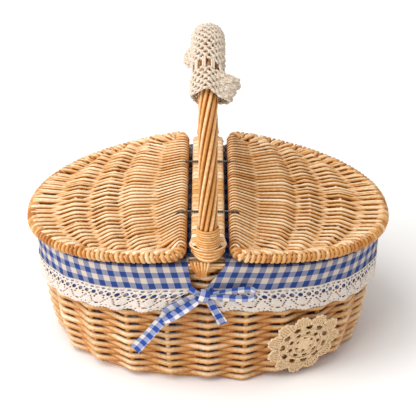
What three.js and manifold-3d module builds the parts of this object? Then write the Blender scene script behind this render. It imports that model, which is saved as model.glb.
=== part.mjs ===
// Oval willow picnic basket with two hinged lids, a twisted handle and a checked liner.
// Millimetres, +Z up, X along the basket, the tied front at -Y, origin under the middle of the base.
import * as THREE from "three";
import Module from "manifold-3d";

// Fits
const CLEARANCE = 0.3;

// Oval wall, measured on the line of the stakes
const RIM_HALF_LENGTH = 177.5;
const RIM_HALF_DEPTH = 122;
const BASE_HALF_LENGTH = 160;
const BASE_HALF_DEPTH = 108;
const OVAL_POWER = 2.2;
const WALL_ROUNDNESS = 3.2;
const WALL_FACETS = [0, 0.03, 0.12, 0.26, 0.5, 1];
const RIM_HEIGHT = 161;
const RIM_SADDLE_LENGTH = 30;
const LID_SLOPE_DEG = 7.5;

// Willow of the wall
const STAKE_RADIUS = 2.6;
const WEAVER_RADIUS = 2.7;
const WEAVE_ROWS = 20;
const STAKE_GAPS_RIGHT = 12;
const STAKE_GAPS_LEFT = 11;
const FOOT_RADIUS = 4;
const RIM_HOOP_RADIUS = 3;
const BASE_THICKNESS = 7;

// Handle
const HANDLE_RISE = 175.5;
const HANDLE_SPRING_LIFT = 7;
const CORE_RADIUS = 4.4;
const STRAND_COUNT = 8;
const STRAND_RADIUS = 2.6;
const STRAND_TURNS = 1.9;
const STRAND_FLARE = 1.6;
const COLLAR_LOOPS = 7;
const COLLAR_CANE_RADIUS = 1.25;
const COLLAR_PITCH = 3.1;
const LASHING_TURNS = 4;
const BINDING_STRIPS = 6;
const BINDING_DROP = 11;

// Centre bar
const BAR_HALF_WIDTH = 17.5;
const BAR_THICKNESS = 11;
const BAR_LIFT = 5;
const BAR_WRAP_THICKNESS = 1.4;

// Lids
const LID_HALF_LENGTH = 200;
const LID_OVERHANG = 18.7;
const LID_HALF_DEPTH = RIM_HALF_DEPTH + LID_OVERHANG;
const LID_OVAL_POWER = 2.18;
const LID_CORNER_RADIUS = 14;
const LID_HOOP_RADIUS = 3;
const LID_ROD_RADIUS = 3.2;
const LID_RIB_RADIUS = 2.3;
const LID_WEAVER_RADIUS = 2.15;
const LID_PASSES = 30;
const LID_PASS_PITCH = 7.8;
const LID_FAN_DEG = 75;
const LID_RIB_MIDDLES = [56, 83, 112, 147];
const LID_RIB_ENDS = [49, 66, 91, 118];
const LID_RIB_CLOSE = 19;
const LID_GAP = 3;

// Wire hinges
const WIRE_RADIUS = 0.9;
const HINGE_PASSES_OUT = 7;

// Cloth
const CLOTH_THICKNESS = 1.4;
const CUFF_DROP = 28;
const LACE_DROP = 30;
const LACE_SCALLOPS = 21;
const LACE_THICKNESS = 1.1;
const TIE_WIDTH = 11;
const TIE_LOOP_WIDTH = 5.6;
const TIE_THICKNESS = 1.4;
const GAP_STRAIGHT_TOP = 20;
const GAP_STRAIGHT_HEM = 16;
const GAP_SLANT_TOP = 17;
const GAP_SLANT_HEM = -3;
const LACE_SPREAD_STRAIGHT = 26;
const LACE_SPREAD_SLANT = 18;
const KNOT_LEFT = 4;
const KNOT_BELOW_HEM = 5.5;
const KNOT_HALF_WIDTH = 5;
const KNOT_HALF_HEIGHT = 6;
const KNOT_HALF_DEPTH = 3.6;
const LOOP_LENGTH = 46;
const LOOP_HALF_HEIGHT = 6;
const LONG_TAIL_ACROSS = 73;
const LONG_TAIL_DOWN = 73;
const SHORT_TAIL_ACROSS = 20;
const SHORT_TAIL_DOWN = 37;

// Crochet
const COVER_START_DEG = 58;
const COVER_END_DEG = 131;
const COVER_THICKNESS = 5.4;
const COVER_FRONT_FLAP = 16;
const COVER_BACK_FLAP = 11.5;
const COVER_HEM_FLARE = 1.5;
const DOILY_RADIUS = 39;
const DOILY_PETALS = 11;
const DOILY_THICKNESS = 2.2;
const DOILY_ANGLE_DEG = -57;
const DOILY_HEIGHT = 46;

const X = new THREE.Vector3(1, 0, 0);
const Y = new THREE.Vector3(0, 1, 0);
const Z = new THREE.Vector3(0, 0, 1);
const FRONT = -Math.PI / 2;
const BACK = Math.PI / 2;
const radians = THREE.MathUtils.degToRad;
const vec = (x, y, z) => new THREE.Vector3(x, y, z);

const wasm = await Module();
wasm.setup();
const basket = new THREE.Group();
basket.name = "rattan_picnic_basket";

function finish(color, roughness) {
  return new THREE.MeshStandardMaterial({ color, roughness });
}

function add(name, geometry, color, roughness = 0.7, parent = basket) {
  const mesh = new THREE.Mesh(geometry, finish(color, roughness));
  mesh.name = name;
  parent.add(mesh);
  return mesh;
}

// Closed skin over a row of rings, each a closed outline with the same number of points
function loft(rings, joined = false) {
  const sides = rings[0].length;
  const points = rings.flat();
  const faces = [];
  const spans = joined ? rings.length : rings.length - 1;
  for (let i = 0; i < spans; i++) {
    const here = i * sides;
    const next = ((i + 1) % rings.length) * sides;
    for (let k = 0; k < sides; k++) {
      const m = (k + 1) % sides;
      faces.push(here + k, next + k, here + m);
      faces.push(here + m, next + k, next + m);
    }
  }
  if (!joined) {
    capFaces(rings[0]).forEach(([a, b, c]) => faces.push(a, b, c));
    const last = (rings.length - 1) * sides;
    capFaces(rings[rings.length - 1]).forEach(([a, b, c]) => faces.push(last + a, last + c, last + b));
  }
  const geometry = new THREE.BufferGeometry();
  geometry.setFromPoints(points);
  geometry.setIndex(faces);
  geometry.computeVertexNormals();
  return geometry;
}

// Triangles that fill a flat outline, turned the way the outline runs
function capFaces(ring) {
  const normal = vec(0, 0, 0);
  ring.forEach((point, k) => {
    const next = ring[(k + 1) % ring.length];
    normal.add(vec(0, 0, 0).crossVectors(point, next));
  });
  normal.normalize();
  const across = vec(0, 0, 0).crossVectors(Math.abs(normal.z) < 0.9 ? Z : X, normal).normalize();
  const up = vec(0, 0, 0).crossVectors(normal, across);
  const flat = ring.map((point) => new THREE.Vector2(point.dot(across), point.dot(up)));
  return THREE.ShapeUtils.triangulateShape(flat, []).map((face) => [face[0], face[1], face[2]]);
}

// Round rod along points; `up` sets how its facets are turned
function rod(points, radius, { sides = 4, up = Z, joined = false } = {}) {
  const count = points.length;
  const rings = points.map((point, i) => {
    const before = points[joined ? (i + count - 1) % count : Math.max(i - 1, 0)];
    const after = points[joined ? (i + 1) % count : Math.min(i + 1, count - 1)];
    const along = after.clone().sub(before).normalize();
    const side = vec(0, 0, 0).crossVectors(along, up).normalize();
    const over = vec(0, 0, 0).crossVectors(side, along);
    const size = typeof radius === "function" ? radius(i) : radius;
    return Array.from({ length: sides }, (_, k) => {
      const angle = (2 * Math.PI * k) / sides;
      return point.clone()
        .addScaledVector(side, size * Math.cos(angle))
        .addScaledVector(over, size * Math.sin(angle));
    });
  });
  return loft(rings, joined);
}

// Flat strip along points, with a width direction given for each point
function strip(points, widths, width, thickness, joined = false) {
  const count = points.length;
  const rings = points.map((point, i) => {
    const before = points[joined ? (i + count - 1) % count : Math.max(i - 1, 0)];
    const after = points[joined ? (i + 1) % count : Math.min(i + 1, count - 1)];
    const along = after.clone().sub(before).normalize();
    const wide = widths(i).clone();
    wide.addScaledVector(along, -wide.dot(along)).normalize();
    const thick = vec(0, 0, 0).crossVectors(wide, along);
    const half = (typeof width === "function" ? width(i) : width) / 2;
    return [[1, 1], [-1, 1], [-1, -1], [1, -1]].map(([a, b]) =>
      point.clone().addScaledVector(wide, a * half).addScaledVector(thick, b * thickness / 2));
  });
  return loft(rings, joined);
}

function solid(geometry) {
  const mesh = new wasm.Mesh({
    numProp: 3,
    vertProperties: new Float32Array(geometry.getAttribute("position").array),
    triVerts: new Uint32Array(geometry.getIndex().array),
  });
  return new wasm.Manifold(mesh);
}

function skin(body) {
  const mesh = body.getMesh();
  const geometry = new THREE.BufferGeometry();
  geometry.setAttribute("position", new THREE.BufferAttribute(new Float32Array(mesh.vertProperties), 3));
  geometry.setIndex(new THREE.BufferAttribute(new Uint32Array(mesh.triVerts), 1));
  geometry.computeVertexNormals();
  return geometry;
}

// Oval plan: point and outward direction for an angle round the basket
function oval(angle, halfLength, halfDepth, power) {
  const c = Math.cos(angle);
  const s = Math.sin(angle);
  const px = Math.sign(c) * Math.abs(c) ** (2 / power);
  const py = Math.sign(s) * Math.abs(s) ** (2 / power);
  const out = vec(
    Math.sign(c) * Math.abs(px) ** (power - 1) / halfLength,
    Math.sign(s) * Math.abs(py) ** (power - 1) / halfDepth, 0).normalize();
  return { point: vec(halfLength * px, halfDepth * py, 0), out };
}

function rimTop(angle) {
  const x = oval(angle, RIM_HALF_LENGTH, RIM_HALF_DEPTH, OVAL_POWER).point.x;
  const fall = Math.hypot(x, RIM_SADDLE_LENGTH) - RIM_SADDLE_LENGTH;
  return RIM_HEIGHT - Math.tan(radians(LID_SLOPE_DEG)) * fall;
}

// How far the wall has spread from the base to the rim, in straight facets
function wallSpread(share) {
  const curve = (at) => 1 - (1 - at) ** WALL_ROUNDNESS;
  const next = Math.max(WALL_FACETS.findIndex((at) => at >= share), 1);
  const from = WALL_FACETS[next - 1];
  const to = WALL_FACETS[next];
  return THREE.MathUtils.lerp(curve(from), curve(to), (share - from) / (to - from));
}

// Heights at which the wall bends, at one angle
function facetHeights(angle, from, to) {
  const inside = WALL_FACETS.map((share) => share * rimTop(angle)).filter((z) => z > from + 1 && z < to - 1);
  return [from, ...inside, to];
}

// Point on the wall, offset outwards from the line of the stakes
function wall(angle, z, offset) {
  const share = THREE.MathUtils.clamp(z / rimTop(angle), 0, 1);
  const spread = wallSpread(share);
  const halfLength = BASE_HALF_LENGTH + (RIM_HALF_LENGTH - BASE_HALF_LENGTH) * spread;
  const halfDepth = BASE_HALF_DEPTH + (RIM_HALF_DEPTH - BASE_HALF_DEPTH) * spread;
  const { point, out } = oval(angle, halfLength, halfDepth, OVAL_POWER);
  return point.addScaledVector(out, offset).setZ(z);
}

// Angle of the wall at a given x, on the front or the back half
function angleAt(x, halfLength, side) {
  const c = Math.sign(x) * (Math.abs(x) / halfLength) ** (OVAL_POWER / 2);
  return side * Math.acos(c);
}

// Angles that divide a half of the rim into equal lengths
function evenAngles(from, to, parts) {
  const steps = 400;
  const lengths = [0];
  let last = oval(from, RIM_HALF_LENGTH, RIM_HALF_DEPTH, OVAL_POWER).point;
  for (let i = 1; i <= steps; i++) {
    const next = oval(from + (to - from) * i / steps, RIM_HALF_LENGTH, RIM_HALF_DEPTH, OVAL_POWER).point;
    lengths.push(lengths[i - 1] + next.distanceTo(last));
    last = next;
  }
  return Array.from({ length: parts + 1 }, (_, k) => {
    const wanted = lengths[steps] * k / parts;
    let i = lengths.findIndex((length) => length >= wanted - 1e-9);
    i = Math.max(i, 1);
    const share = (wanted - lengths[i - 1]) / (lengths[i] - lengths[i - 1]);
    return from + (to - from) * (i - 1 + share) / steps;
  });
}

// The stakes: the first and the one at the back are the handle's own legs
const rightAngles = evenAngles(FRONT, BACK, STAKE_GAPS_RIGHT);
const leftAngles = evenAngles(BACK, BACK + Math.PI, STAKE_GAPS_LEFT);
const stakeAngles = [...rightAngles, ...leftAngles.slice(1, -1)];
const stationAngles = stakeAngles.flatMap((angle, i) => {
  const next = i + 1 < stakeAngles.length ? stakeAngles[i + 1] : stakeAngles[0] + 2 * Math.PI;
  return [angle, (angle + next) / 2];
});
const backLeg = STAKE_GAPS_RIGHT;

const weaverReach = (STAKE_RADIUS + CLEARANCE + WEAVER_RADIUS) * 1.05;
const hoopReach = STAKE_RADIUS + CLEARANCE + RIM_HOOP_RADIUS;
const wallHalf = Math.max(weaverReach + WEAVER_RADIUS, hoopReach + RIM_HOOP_RADIUS);
const willow = 0xb98a4a;
const paleWillow = 0xc79a58;
const cane = 0xcda768;

// Base, stakes and the weaver of the wall
const footHeight = FOOT_RADIUS + CLEARANCE;
const firstRow = footHeight + FOOT_RADIUS + 0.5 + WEAVER_RADIUS;
const topMargin = 2 * RIM_HOOP_RADIUS + 0.5 + WEAVER_RADIUS;

function ovalRing(z, inset, count = 32) {
  return Array.from({ length: count }, (_, k) => wall(-2 * Math.PI * k / count, footHeight, -inset).setZ(z));
}

const baseInset = FOOT_RADIUS + 3 * CLEARANCE;
const baseEdge = 1.5;
add("base_panel", loft([
  ovalRing(0, baseInset + baseEdge),
  ovalRing(baseEdge, baseInset),
  ovalRing(BASE_THICKNESS - baseEdge, baseInset),
  ovalRing(BASE_THICKNESS, baseInset + baseEdge),
]), willow);

const footHoop = rod(stationAngles.map((angle) => wall(angle, footHeight, 0)), FOOT_RADIUS, { joined: true });
const stakes = stakeAngles
  .filter((_, i) => i !== 0 && i !== backLeg)
  .map((angle) => {
    const top = rimTop(angle) - 1;
    const out = wall(angle, top, 1).sub(wall(angle, top, 0));
    return rod(facetHeights(angle, footHeight, top).map((z) => wall(angle, z, 0)), STAKE_RADIUS, { sides: 3, up: out });
  });
add("stake_frame", skin(stakes.reduce((body, stake) => body.add(solid(stake)), solid(footHoop))), willow);

const weaverPoints = [];
for (let i = 0; i <= WEAVE_ROWS * stakeAngles.length; i++) {
  const angle = stakeAngles[i % stakeAngles.length];
  const rise = i / (WEAVE_ROWS * stakeAngles.length);
  const z = firstRow + rise * (rimTop(angle) - topMargin - firstRow);
  weaverPoints.push(wall(angle, z, i % 2 ? weaverReach : -weaverReach));
}
add("side_weaver", rod(weaverPoints, WEAVER_RADIUS), paleWillow);

for (const [name, side] of [["rim_outer_hoop", 1], ["rim_inner_hoop", -1]]) {
  const line = stationAngles.map((angle) => wall(angle, rimTop(angle) - RIM_HOOP_RADIUS, side * hoopReach));
  add(name, rod(line, RIM_HOOP_RADIUS, { joined: true }), willow);
}

// Handle: a bowed core whose legs stand in the weave as stakes, and strands twisted round it
const springHeight = RIM_HEIGHT + HANDLE_SPRING_LIFT;
const barBottom = RIM_HEIGHT + BAR_LIFT;
const barTop = barBottom + BAR_THICKNESS;
const arch = (turn) => vec(0, -RIM_HALF_DEPTH * Math.cos(turn), springHeight + HANDLE_RISE * Math.sin(turn));
const archSteps = 24;
const archTurns = Array.from({ length: archSteps + 1 }, (_, i) => Math.PI * i / archSteps);
const legHeights = facetHeights(FRONT, footHeight + FOOT_RADIUS + CLEARANCE, RIM_HEIGHT);
const corePath = [
  ...legHeights.map((z) => wall(FRONT, z, 0)),
  ...archTurns.map(arch),
  ...legHeights.map((z) => wall(BACK, z, 0)).reverse(),
];
add("handle_core", rod(corePath, (i) => {
  const inWall = i < legHeights.length || i >= corePath.length - legHeights.length;
  return inWall ? STAKE_RADIUS : CORE_RADIUS;
}, { sides: 5, up: X }), willow);

const strandStart = barTop + 1.5;
const strandRing = CORE_RADIUS + 0.6 + STRAND_RADIUS;
const startTurn = Math.asin((strandStart - springHeight) / HANDLE_RISE);
const strandTurns = [startTurn, ...archTurns.filter((turn) => turn > startTurn + 0.05 && turn < Math.PI - startTurn - 0.05), Math.PI - startTurn];
const flareLength = COLLAR_LOOPS * COLLAR_PITCH;
function strandOut(turn) {
  const climb = arch(turn).z - strandStart;
  const flare = THREE.MathUtils.clamp(1 - climb / flareLength, 0, 1);
  return strandRing + STRAND_FLARE * flare ** 2;
}
function roundArch(turn, angle, distance) {
  const along = arch(turn + 1e-3).sub(arch(turn - 1e-3)).normalize();
  const out = vec(0, 0, 0).crossVectors(X, along);
  return arch(turn)
    .addScaledVector(X, distance * Math.cos(angle))
    .addScaledVector(out, distance * Math.sin(angle));
}
for (let k = 0; k < STRAND_COUNT; k++) {
  const path = strandTurns.map((turn) => {
    const angle = 2 * Math.PI * (k / STRAND_COUNT - STRAND_TURNS * turn / Math.PI);
    return roundArch(turn, angle, strandOut(turn));
  });
  add(`handle_strand_${k + 1}`, rod(path, STRAND_RADIUS, { up: X }), k % 2 ? willow : paleWillow);
}

// Cane collar wound over the foot of the strands at each end of the handle
function leastSelfGap(points, radius, perLoop) {
  let least = Infinity;
  for (let i = 0; i < points.length; i++) {
    for (let j = i + Math.floor(perLoop / 2); j < points.length; j++) {
      least = Math.min(least, points[i].distanceTo(points[j]));
    }
  }
  return least - 2 * radius;
}
const collarSteps = 10;
for (const [name, side] of [["front", 1], ["back", -1]]) {
  const points = [];
  for (let i = 0; i <= COLLAR_LOOPS * collarSteps; i++) {
    const angle = 2 * Math.PI * i / collarSteps;
    const z = strandStart + COLLAR_CANE_RADIUS + COLLAR_PITCH * i / collarSteps;
    const turn = Math.asin((z - springHeight) / HANDLE_RISE);
    const out = (strandOut(turn) + STRAND_RADIUS + 1.7 * CLEARANCE + COLLAR_CANE_RADIUS) / Math.cos(Math.PI / collarSteps);
    const centre = arch(turn);
    points.push(vec(out * Math.cos(angle), centre.y + out * Math.sin(angle), z));
  }
  if (side < 0) {
    points.forEach((point) => point.set(-point.x, -point.y, point.z));
  }
  console.log(`handle_collar_${name} least gap ${leastSelfGap(points, COLLAR_CANE_RADIUS, collarSteps).toFixed(2)} mm`);
  add(`handle_collar_${name}`, rod(points, COLLAR_CANE_RADIUS, { sides: 3 }), cane);
}

// Centre bar and its sleeve of flat cane
const barHalfLength = RIM_HALF_DEPTH - CORE_RADIUS - 2 * CLEARANCE;
function barRing(y, inset) {
  const w = BAR_HALF_WIDTH - inset;
  const low = barBottom + inset;
  const high = barTop - inset;
  const r = 2;
  return [
    [w, low + r], [w, high - r], [w - r, high], [-w + r, high],
    [-w, high - r], [-w, low + r], [-w + r, low], [w - r, low],
  ].map(([x, z]) => vec(x, y, z)).reverse();
}
const coreInset = BAR_WRAP_THICKNESS + CLEARANCE;
const wrapEnd = barHalfLength - 2;
add("centre_bar", loft([barRing(-barHalfLength, coreInset), barRing(barHalfLength, coreInset)].reverse()), willow);
add("bar_wrap", loft([
  barRing(wrapEnd, 0),
  barRing(-wrapEnd, 0),
  barRing(-wrapEnd, BAR_WRAP_THICKNESS),
  barRing(wrapEnd, BAR_WRAP_THICKNESS),
], true), cane);

// Lashing round the bar's end and the leg, and the binding that ties them to the rim
const lashingPitch = (BAR_THICKNESS - 2) / LASHING_TURNS;
const lashingRadius = Math.min(COLLAR_CANE_RADIUS, lashingPitch / 2 - 0.1);
const lashingSide = BAR_HALF_WIDTH + CLEARANCE + lashingRadius;
const lashingFront = RIM_HALF_DEPTH + strandRing + 4;
function lashingPath() {
  const points = [];
  for (let row = 0; row < LASHING_TURNS; row++) {
    const z = barTop - 1 - lashingPitch * (row + 0.5);
    const reach = lashingFront + 0.8 * row;
    const half = [];
    const back = barHalfLength - 12;
    half.push(vec(lashingSide, -back, z));
    half.push(vec(lashingSide, -barHalfLength, z));
    for (let i = 1; i < 8; i++) {
      const angle = Math.PI * i / 8;
      half.push(vec(lashingSide * Math.cos(angle), -barHalfLength - (reach - barHalfLength) * Math.sin(angle), z));
    }
    half.push(vec(-lashingSide, -barHalfLength, z));
    half.push(vec(-lashingSide, -back, z));
    points.push(...(row % 2 ? half.reverse() : half));
  }
  return points;
}
const bindingOffset = wallHalf + CLEARANCE + COLLAR_CANE_RADIUS;
function bindingPath() {
  const points = [];
  const pitch = 2 * COLLAR_CANE_RADIUS + 0.5;
  for (let k = 0; k < BINDING_STRIPS; k++) {
    const top = -9 + pitch * k;
    const low = top - 5;
    const pass = [[top, 1.5], [(top + low) / 2, BINDING_DROP / 2], [low, BINDING_DROP + k * 0.6]].map(([x, drop]) => {
      const angle = angleAt(x, RIM_HALF_LENGTH, -1);
      return wall(angle, rimTop(angle) - drop, bindingOffset);
    });
    points.push(...(k % 2 ? pass.reverse() : pass));
  }
  return points;
}
function turned(points) {
  return points.map((point) => vec(-point.x, -point.y, point.z));
}
add("handle_lashing_front", rod(lashingPath(), lashingRadius, { sides: 3 }), cane);
add("handle_lashing_back", rod(turned(lashingPath()), lashingRadius, { sides: 3 }), cane);
add("rim_binding_front", rod(bindingPath(), COLLAR_CANE_RADIUS, { up: Y }), cane);
add("rim_binding_back", rod(turned(bindingPath()), COLLAR_CANE_RADIUS, { up: Y }), cane);

// Lids, drawn flat with the hinge rod on the line x = 0 and set at their slope in a group
const rodRoll = LID_ROD_RADIUS + CLEARANCE + 2 * LID_WEAVER_RADIUS;
const hoopRoll = LID_HOOP_RADIUS + CLEARANCE + 2 * LID_WEAVER_RADIUS;
const turnSpread = 1 / Math.cos(Math.PI / 6);
const rodLift = (LID_ROD_RADIUS + 1.5 * CLEARANCE + LID_WEAVER_RADIUS) * turnSpread;
const hoopLift = (LID_HOOP_RADIUS + CLEARANCE + LID_WEAVER_RADIUS) * turnSpread;
const ribLift = LID_RIB_RADIUS + 3 * CLEARANCE + LID_WEAVER_RADIUS;
const hingeX = BAR_HALF_WIDTH + LID_GAP + rodRoll;
const hingeZ = RIM_HEIGHT + CLOTH_THICKNESS + 2 * CLEARANCE + rodLift + LID_WEAVER_RADIUS;
const hoopLength = hingeX + (LID_HALF_LENGTH - hoopRoll - hingeX) / Math.cos(radians(LID_SLOPE_DEG));
const hoopDepth = LID_HALF_DEPTH - hoopRoll;
function lidEdge(angle) {
  const { point } = oval(angle, hoopLength, hoopDepth, LID_OVAL_POWER);
  return point.setX(point.x - hingeX);
}
function lidDepthAt(x) {
  return hoopDepth * (1 - ((x + hingeX) / hoopLength) ** LID_OVAL_POWER) ** (1 / LID_OVAL_POWER);
}
const cornerDepth = lidDepthAt(LID_CORNER_RADIUS);
const cornerAngle = Math.acos(((LID_CORNER_RADIUS + hingeX) / hoopLength) ** (LID_OVAL_POWER / 2));
const rodHalfLength = cornerDepth - LID_CORNER_RADIUS - 5 * CLEARANCE;

function lidHoopPath() {
  const points = [];
  const corner = (side) => [0, 0.33, 0.66].map((share) => {
    const angle = share * Math.PI / 2;
    return vec(
      LID_CORNER_RADIUS * (1 - Math.cos(angle)),
      side * (cornerDepth - LID_CORNER_RADIUS * (1 - Math.sin(angle))), 0);
  });
  points.push(...corner(-1));
  const steps = 24;
  for (let i = 0; i <= steps; i++) {
    points.push(lidEdge(-cornerAngle + 2 * cornerAngle * i / steps));
  }
  points.push(...corner(1).reverse());
  return points;
}

const lidRibs = LID_RIB_MIDDLES.map((middle, k) => {
  const end = LID_RIB_ENDS[k] - hingeX;
  const reach = lidDepthAt(end) - LID_HOOP_RADIUS - LID_RIB_RADIUS - 2 * CLEARANCE;
  const middleX = middle - hingeX;
  return { reach, x: (y) => middleX + (end - middleX) * (y / reach) ** 2 };
});

// One rod goes to and fro between the hinge rod and the hoop, over and under what it meets
function lidWeaverPath() {
  const points = [];
  let over = 1;
  for (let j = 0; j < LID_PASSES; j++) {
    const from = vec(0, (j - (LID_PASSES - 1) / 2) * LID_PASS_PITCH, 0);
    const share = (2 * j - (LID_PASSES - 1)) / (LID_PASSES - 1);
    const to = lidEdge(radians(LID_FAN_DEG) * share);
    const stops = [{ share: 0, lift: rodLift }];
    lidRibs.forEach((rib) => {
      const gap = (s) => THREE.MathUtils.lerp(from.x, to.x, s) - rib.x(THREE.MathUtils.lerp(from.y, to.y, s));
      if (gap(0) >= 0 || gap(0.97) <= 0) {
        return;
      }
      let low = 0;
      let high = 0.97;
      for (let n = 0; n < 30; n++) {
        const middle = (low + high) / 2;
        if (gap(middle) < 0) {
          low = middle;
        } else {
          high = middle;
        }
      }
      if (Math.abs(THREE.MathUtils.lerp(from.y, to.y, low)) < rib.reach + LID_WEAVER_RADIUS) {
        const close = from.distanceTo(to) * (1 - low) < LID_RIB_CLOSE;
        stops.push({ share: low, lift: close ? hoopLift : ribLift, close });
      }
    });
    stops.push({ share: 1, lift: hoopLift, hoop: true });
    const inward = j % 2 === 0;
    if (inward) {
      stops.reverse();
    }
    // A rib's end close to the hoop is passed on the same side as the hoop
    stops.forEach((stop, k) => {
      const next = stops[k + 1];
      points.push(from.clone().lerp(to, stop.share).setZ(over * stop.lift));
      const together = next && ((stop.close && next.hoop) || (stop.hoop && next.close));
      over = together ? over : -over;
    });
    if (j === LID_PASSES - 1) {
      break;
    }
    // The turn: two points on the outer side of the hinge rod or of the hoop
    for (const part of [1, 2]) {
      const height = (part === 1 ? -over : over) * 0.5;
      if (inward) {
        points.push(vec(-rodLift / turnSpread, from.y + LID_PASS_PITCH * part / 3, height * rodLift));
      } else {
        const angle = radians(LID_FAN_DEG) * (share + 2 * part / 3 / (LID_PASSES - 1));
        const edge = lidEdge(angle);
        const ahead = lidEdge(angle + 0.01).sub(edge).normalize();
        edge.addScaledVector(vec(ahead.y, -ahead.x, 0), hoopLift / turnSpread + CLEARANCE);
        points.push(edge.setZ(height * hoopLift));
      }
    }
  }
  return points;
}

for (const [side, spin] of [["right", 0], ["left", Math.PI]]) {
  const swing = new THREE.Group();
  swing.name = `lid_${side}`;
  swing.rotation.set(0, radians(LID_SLOPE_DEG), spin, "ZYX");
  swing.position.set(spin ? -hingeX : hingeX, 0, hingeZ);
  basket.add(swing);
  add(`lid_${side}_hoop`, rod(lidHoopPath(), LID_HOOP_RADIUS, { sides: 5 }), willow, 0.7, swing);
  const rodEnds = [vec(0, -rodHalfLength, 0), vec(0, rodHalfLength, 0)];
  add(`lid_${side}_hinge_rod`, rod(rodEnds, LID_ROD_RADIUS, { sides: 10 }), willow, 0.7, swing);
  lidRibs.forEach((rib, k) => {
    const path = [-1, -0.75, -0.5, -0.25, 0, 0.25, 0.5, 0.75, 1].map((share) => {
      const y = share * rib.reach;
      return vec(rib.x(y), y, 0);
    });
    add(`lid_${side}_rib_${k + 1}`, rod(path, LID_RIB_RADIUS, { sides: 5 }), willow, 0.7, swing);
  });
  add(`lid_${side}_weaver`, rod(lidWeaverPath(), LID_WEAVER_RADIUS), paleWillow, 0.7, swing);
}

// Wire hinges: each loop passes over the bar and round both hinge rods, between two passes of the weave
const wireSteps = 5;
const wireReach = (LID_ROD_RADIUS + 0.4 + WIRE_RADIUS) / Math.cos(Math.PI / 2 / wireSteps);
function wirePath(y) {
  const points = [];
  for (const side of [1, -1]) {
    for (let i = 0; i <= wireSteps; i++) {
      const angle = (i / wireSteps - 0.5) * Math.PI * 1.1;
      points.push(vec(side * (hingeX + wireReach * Math.cos(angle)), y, hingeZ + side * wireReach * Math.sin(angle)));
    }
    const level = side > 0 ? barTop + CLEARANCE + WIRE_RADIUS : barBottom - CLEARANCE - WIRE_RADIUS;
    points.push(vec(side * (BAR_HALF_WIDTH + 0.6), y, level));
    points.push(vec(-side * (BAR_HALF_WIDTH + 0.6), y, level));
  }
  return points;
}
const hingeY = HINGE_PASSES_OUT * LID_PASS_PITCH;
add("hinge_wire_front", rod(wirePath(-hingeY), WIRE_RADIUS, { sides: 5, up: Y, joined: true }), 0x4a4d52, 0.4);
add("hinge_wire_back", rod(wirePath(hingeY), WIRE_RADIUS, { sides: 5, up: Y, joined: true }), 0x4a4d52, 0.4);

// Liner: a floor cloth and two side cloths that meet at the handle
const linerOffset = wallHalf + CLEARANCE;
const floorZ = BASE_THICKNESS + CLEARANCE;
const blue = 0x5a78b8;
function floorRing(z) {
  const inset = linerOffset + 0.6 + CLOTH_THICKNESS + 3 * CLEARANCE;
  return Array.from({ length: 32 }, (_, k) => wall(-2 * Math.PI * k / 32, floorZ, -inset).setZ(z));
}
add("liner_floor", loft([floorRing(floorZ), floorRing(floorZ + CLOTH_THICKNESS)]), blue, 0.95);

const seam = radians(0.35);
const cuffInner = 22;
function sideAngles(side, steps, margin) {
  const from = side > 0 ? FRONT : BACK;
  return Array.from({ length: steps + 1 }, (_, i) => from + margin + (Math.PI - 2 * margin) * i / steps);
}
for (const [name, side] of [["liner_right", 1], ["liner_left", -1]]) {
  const rings = sideAngles(side, 18, seam).map((angle) => {
    const heights = facetHeights(angle, floorZ, rimTop(angle) - cuffInner - CLEARANCE);
    const outer = heights.map((z) => wall(angle, z, -linerOffset - 0.6));
    const inner = heights.map((z) => wall(angle, z, -linerOffset - 0.6 - CLOTH_THICKNESS));
    return [...outer, ...inner.reverse()];
  });
  add(name, loft(rings), blue, 0.95);
}

// Cuffs: the cloth turned out over the rim, open at the handle, with lace hung below
const cuffReach = wallHalf + CLEARANCE + 0.4;
function cuffRing(place, inner) {
  const line = [];
  const over = CLEARANCE;
  const grow = inner ? 0 : CLOTH_THICKNESS;
  line.push([cuffInner, -cuffReach - grow]);
  line.push([2, -cuffReach - grow]);
  line.push([-over - grow, -cuffReach + 2.5]);
  line.push([-over - grow, cuffReach - 2.5]);
  line.push([2, cuffReach + grow]);
  line.push([CUFF_DROP, cuffReach + grow]);
  return line.map(([drop, offset]) => {
    const angle = place(Math.max(drop, 0));
    const top = rimTop(angle);
    const point = wall(angle, Math.min(top - drop, top), offset);
    return point.setZ(top - drop);
  });
}
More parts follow.
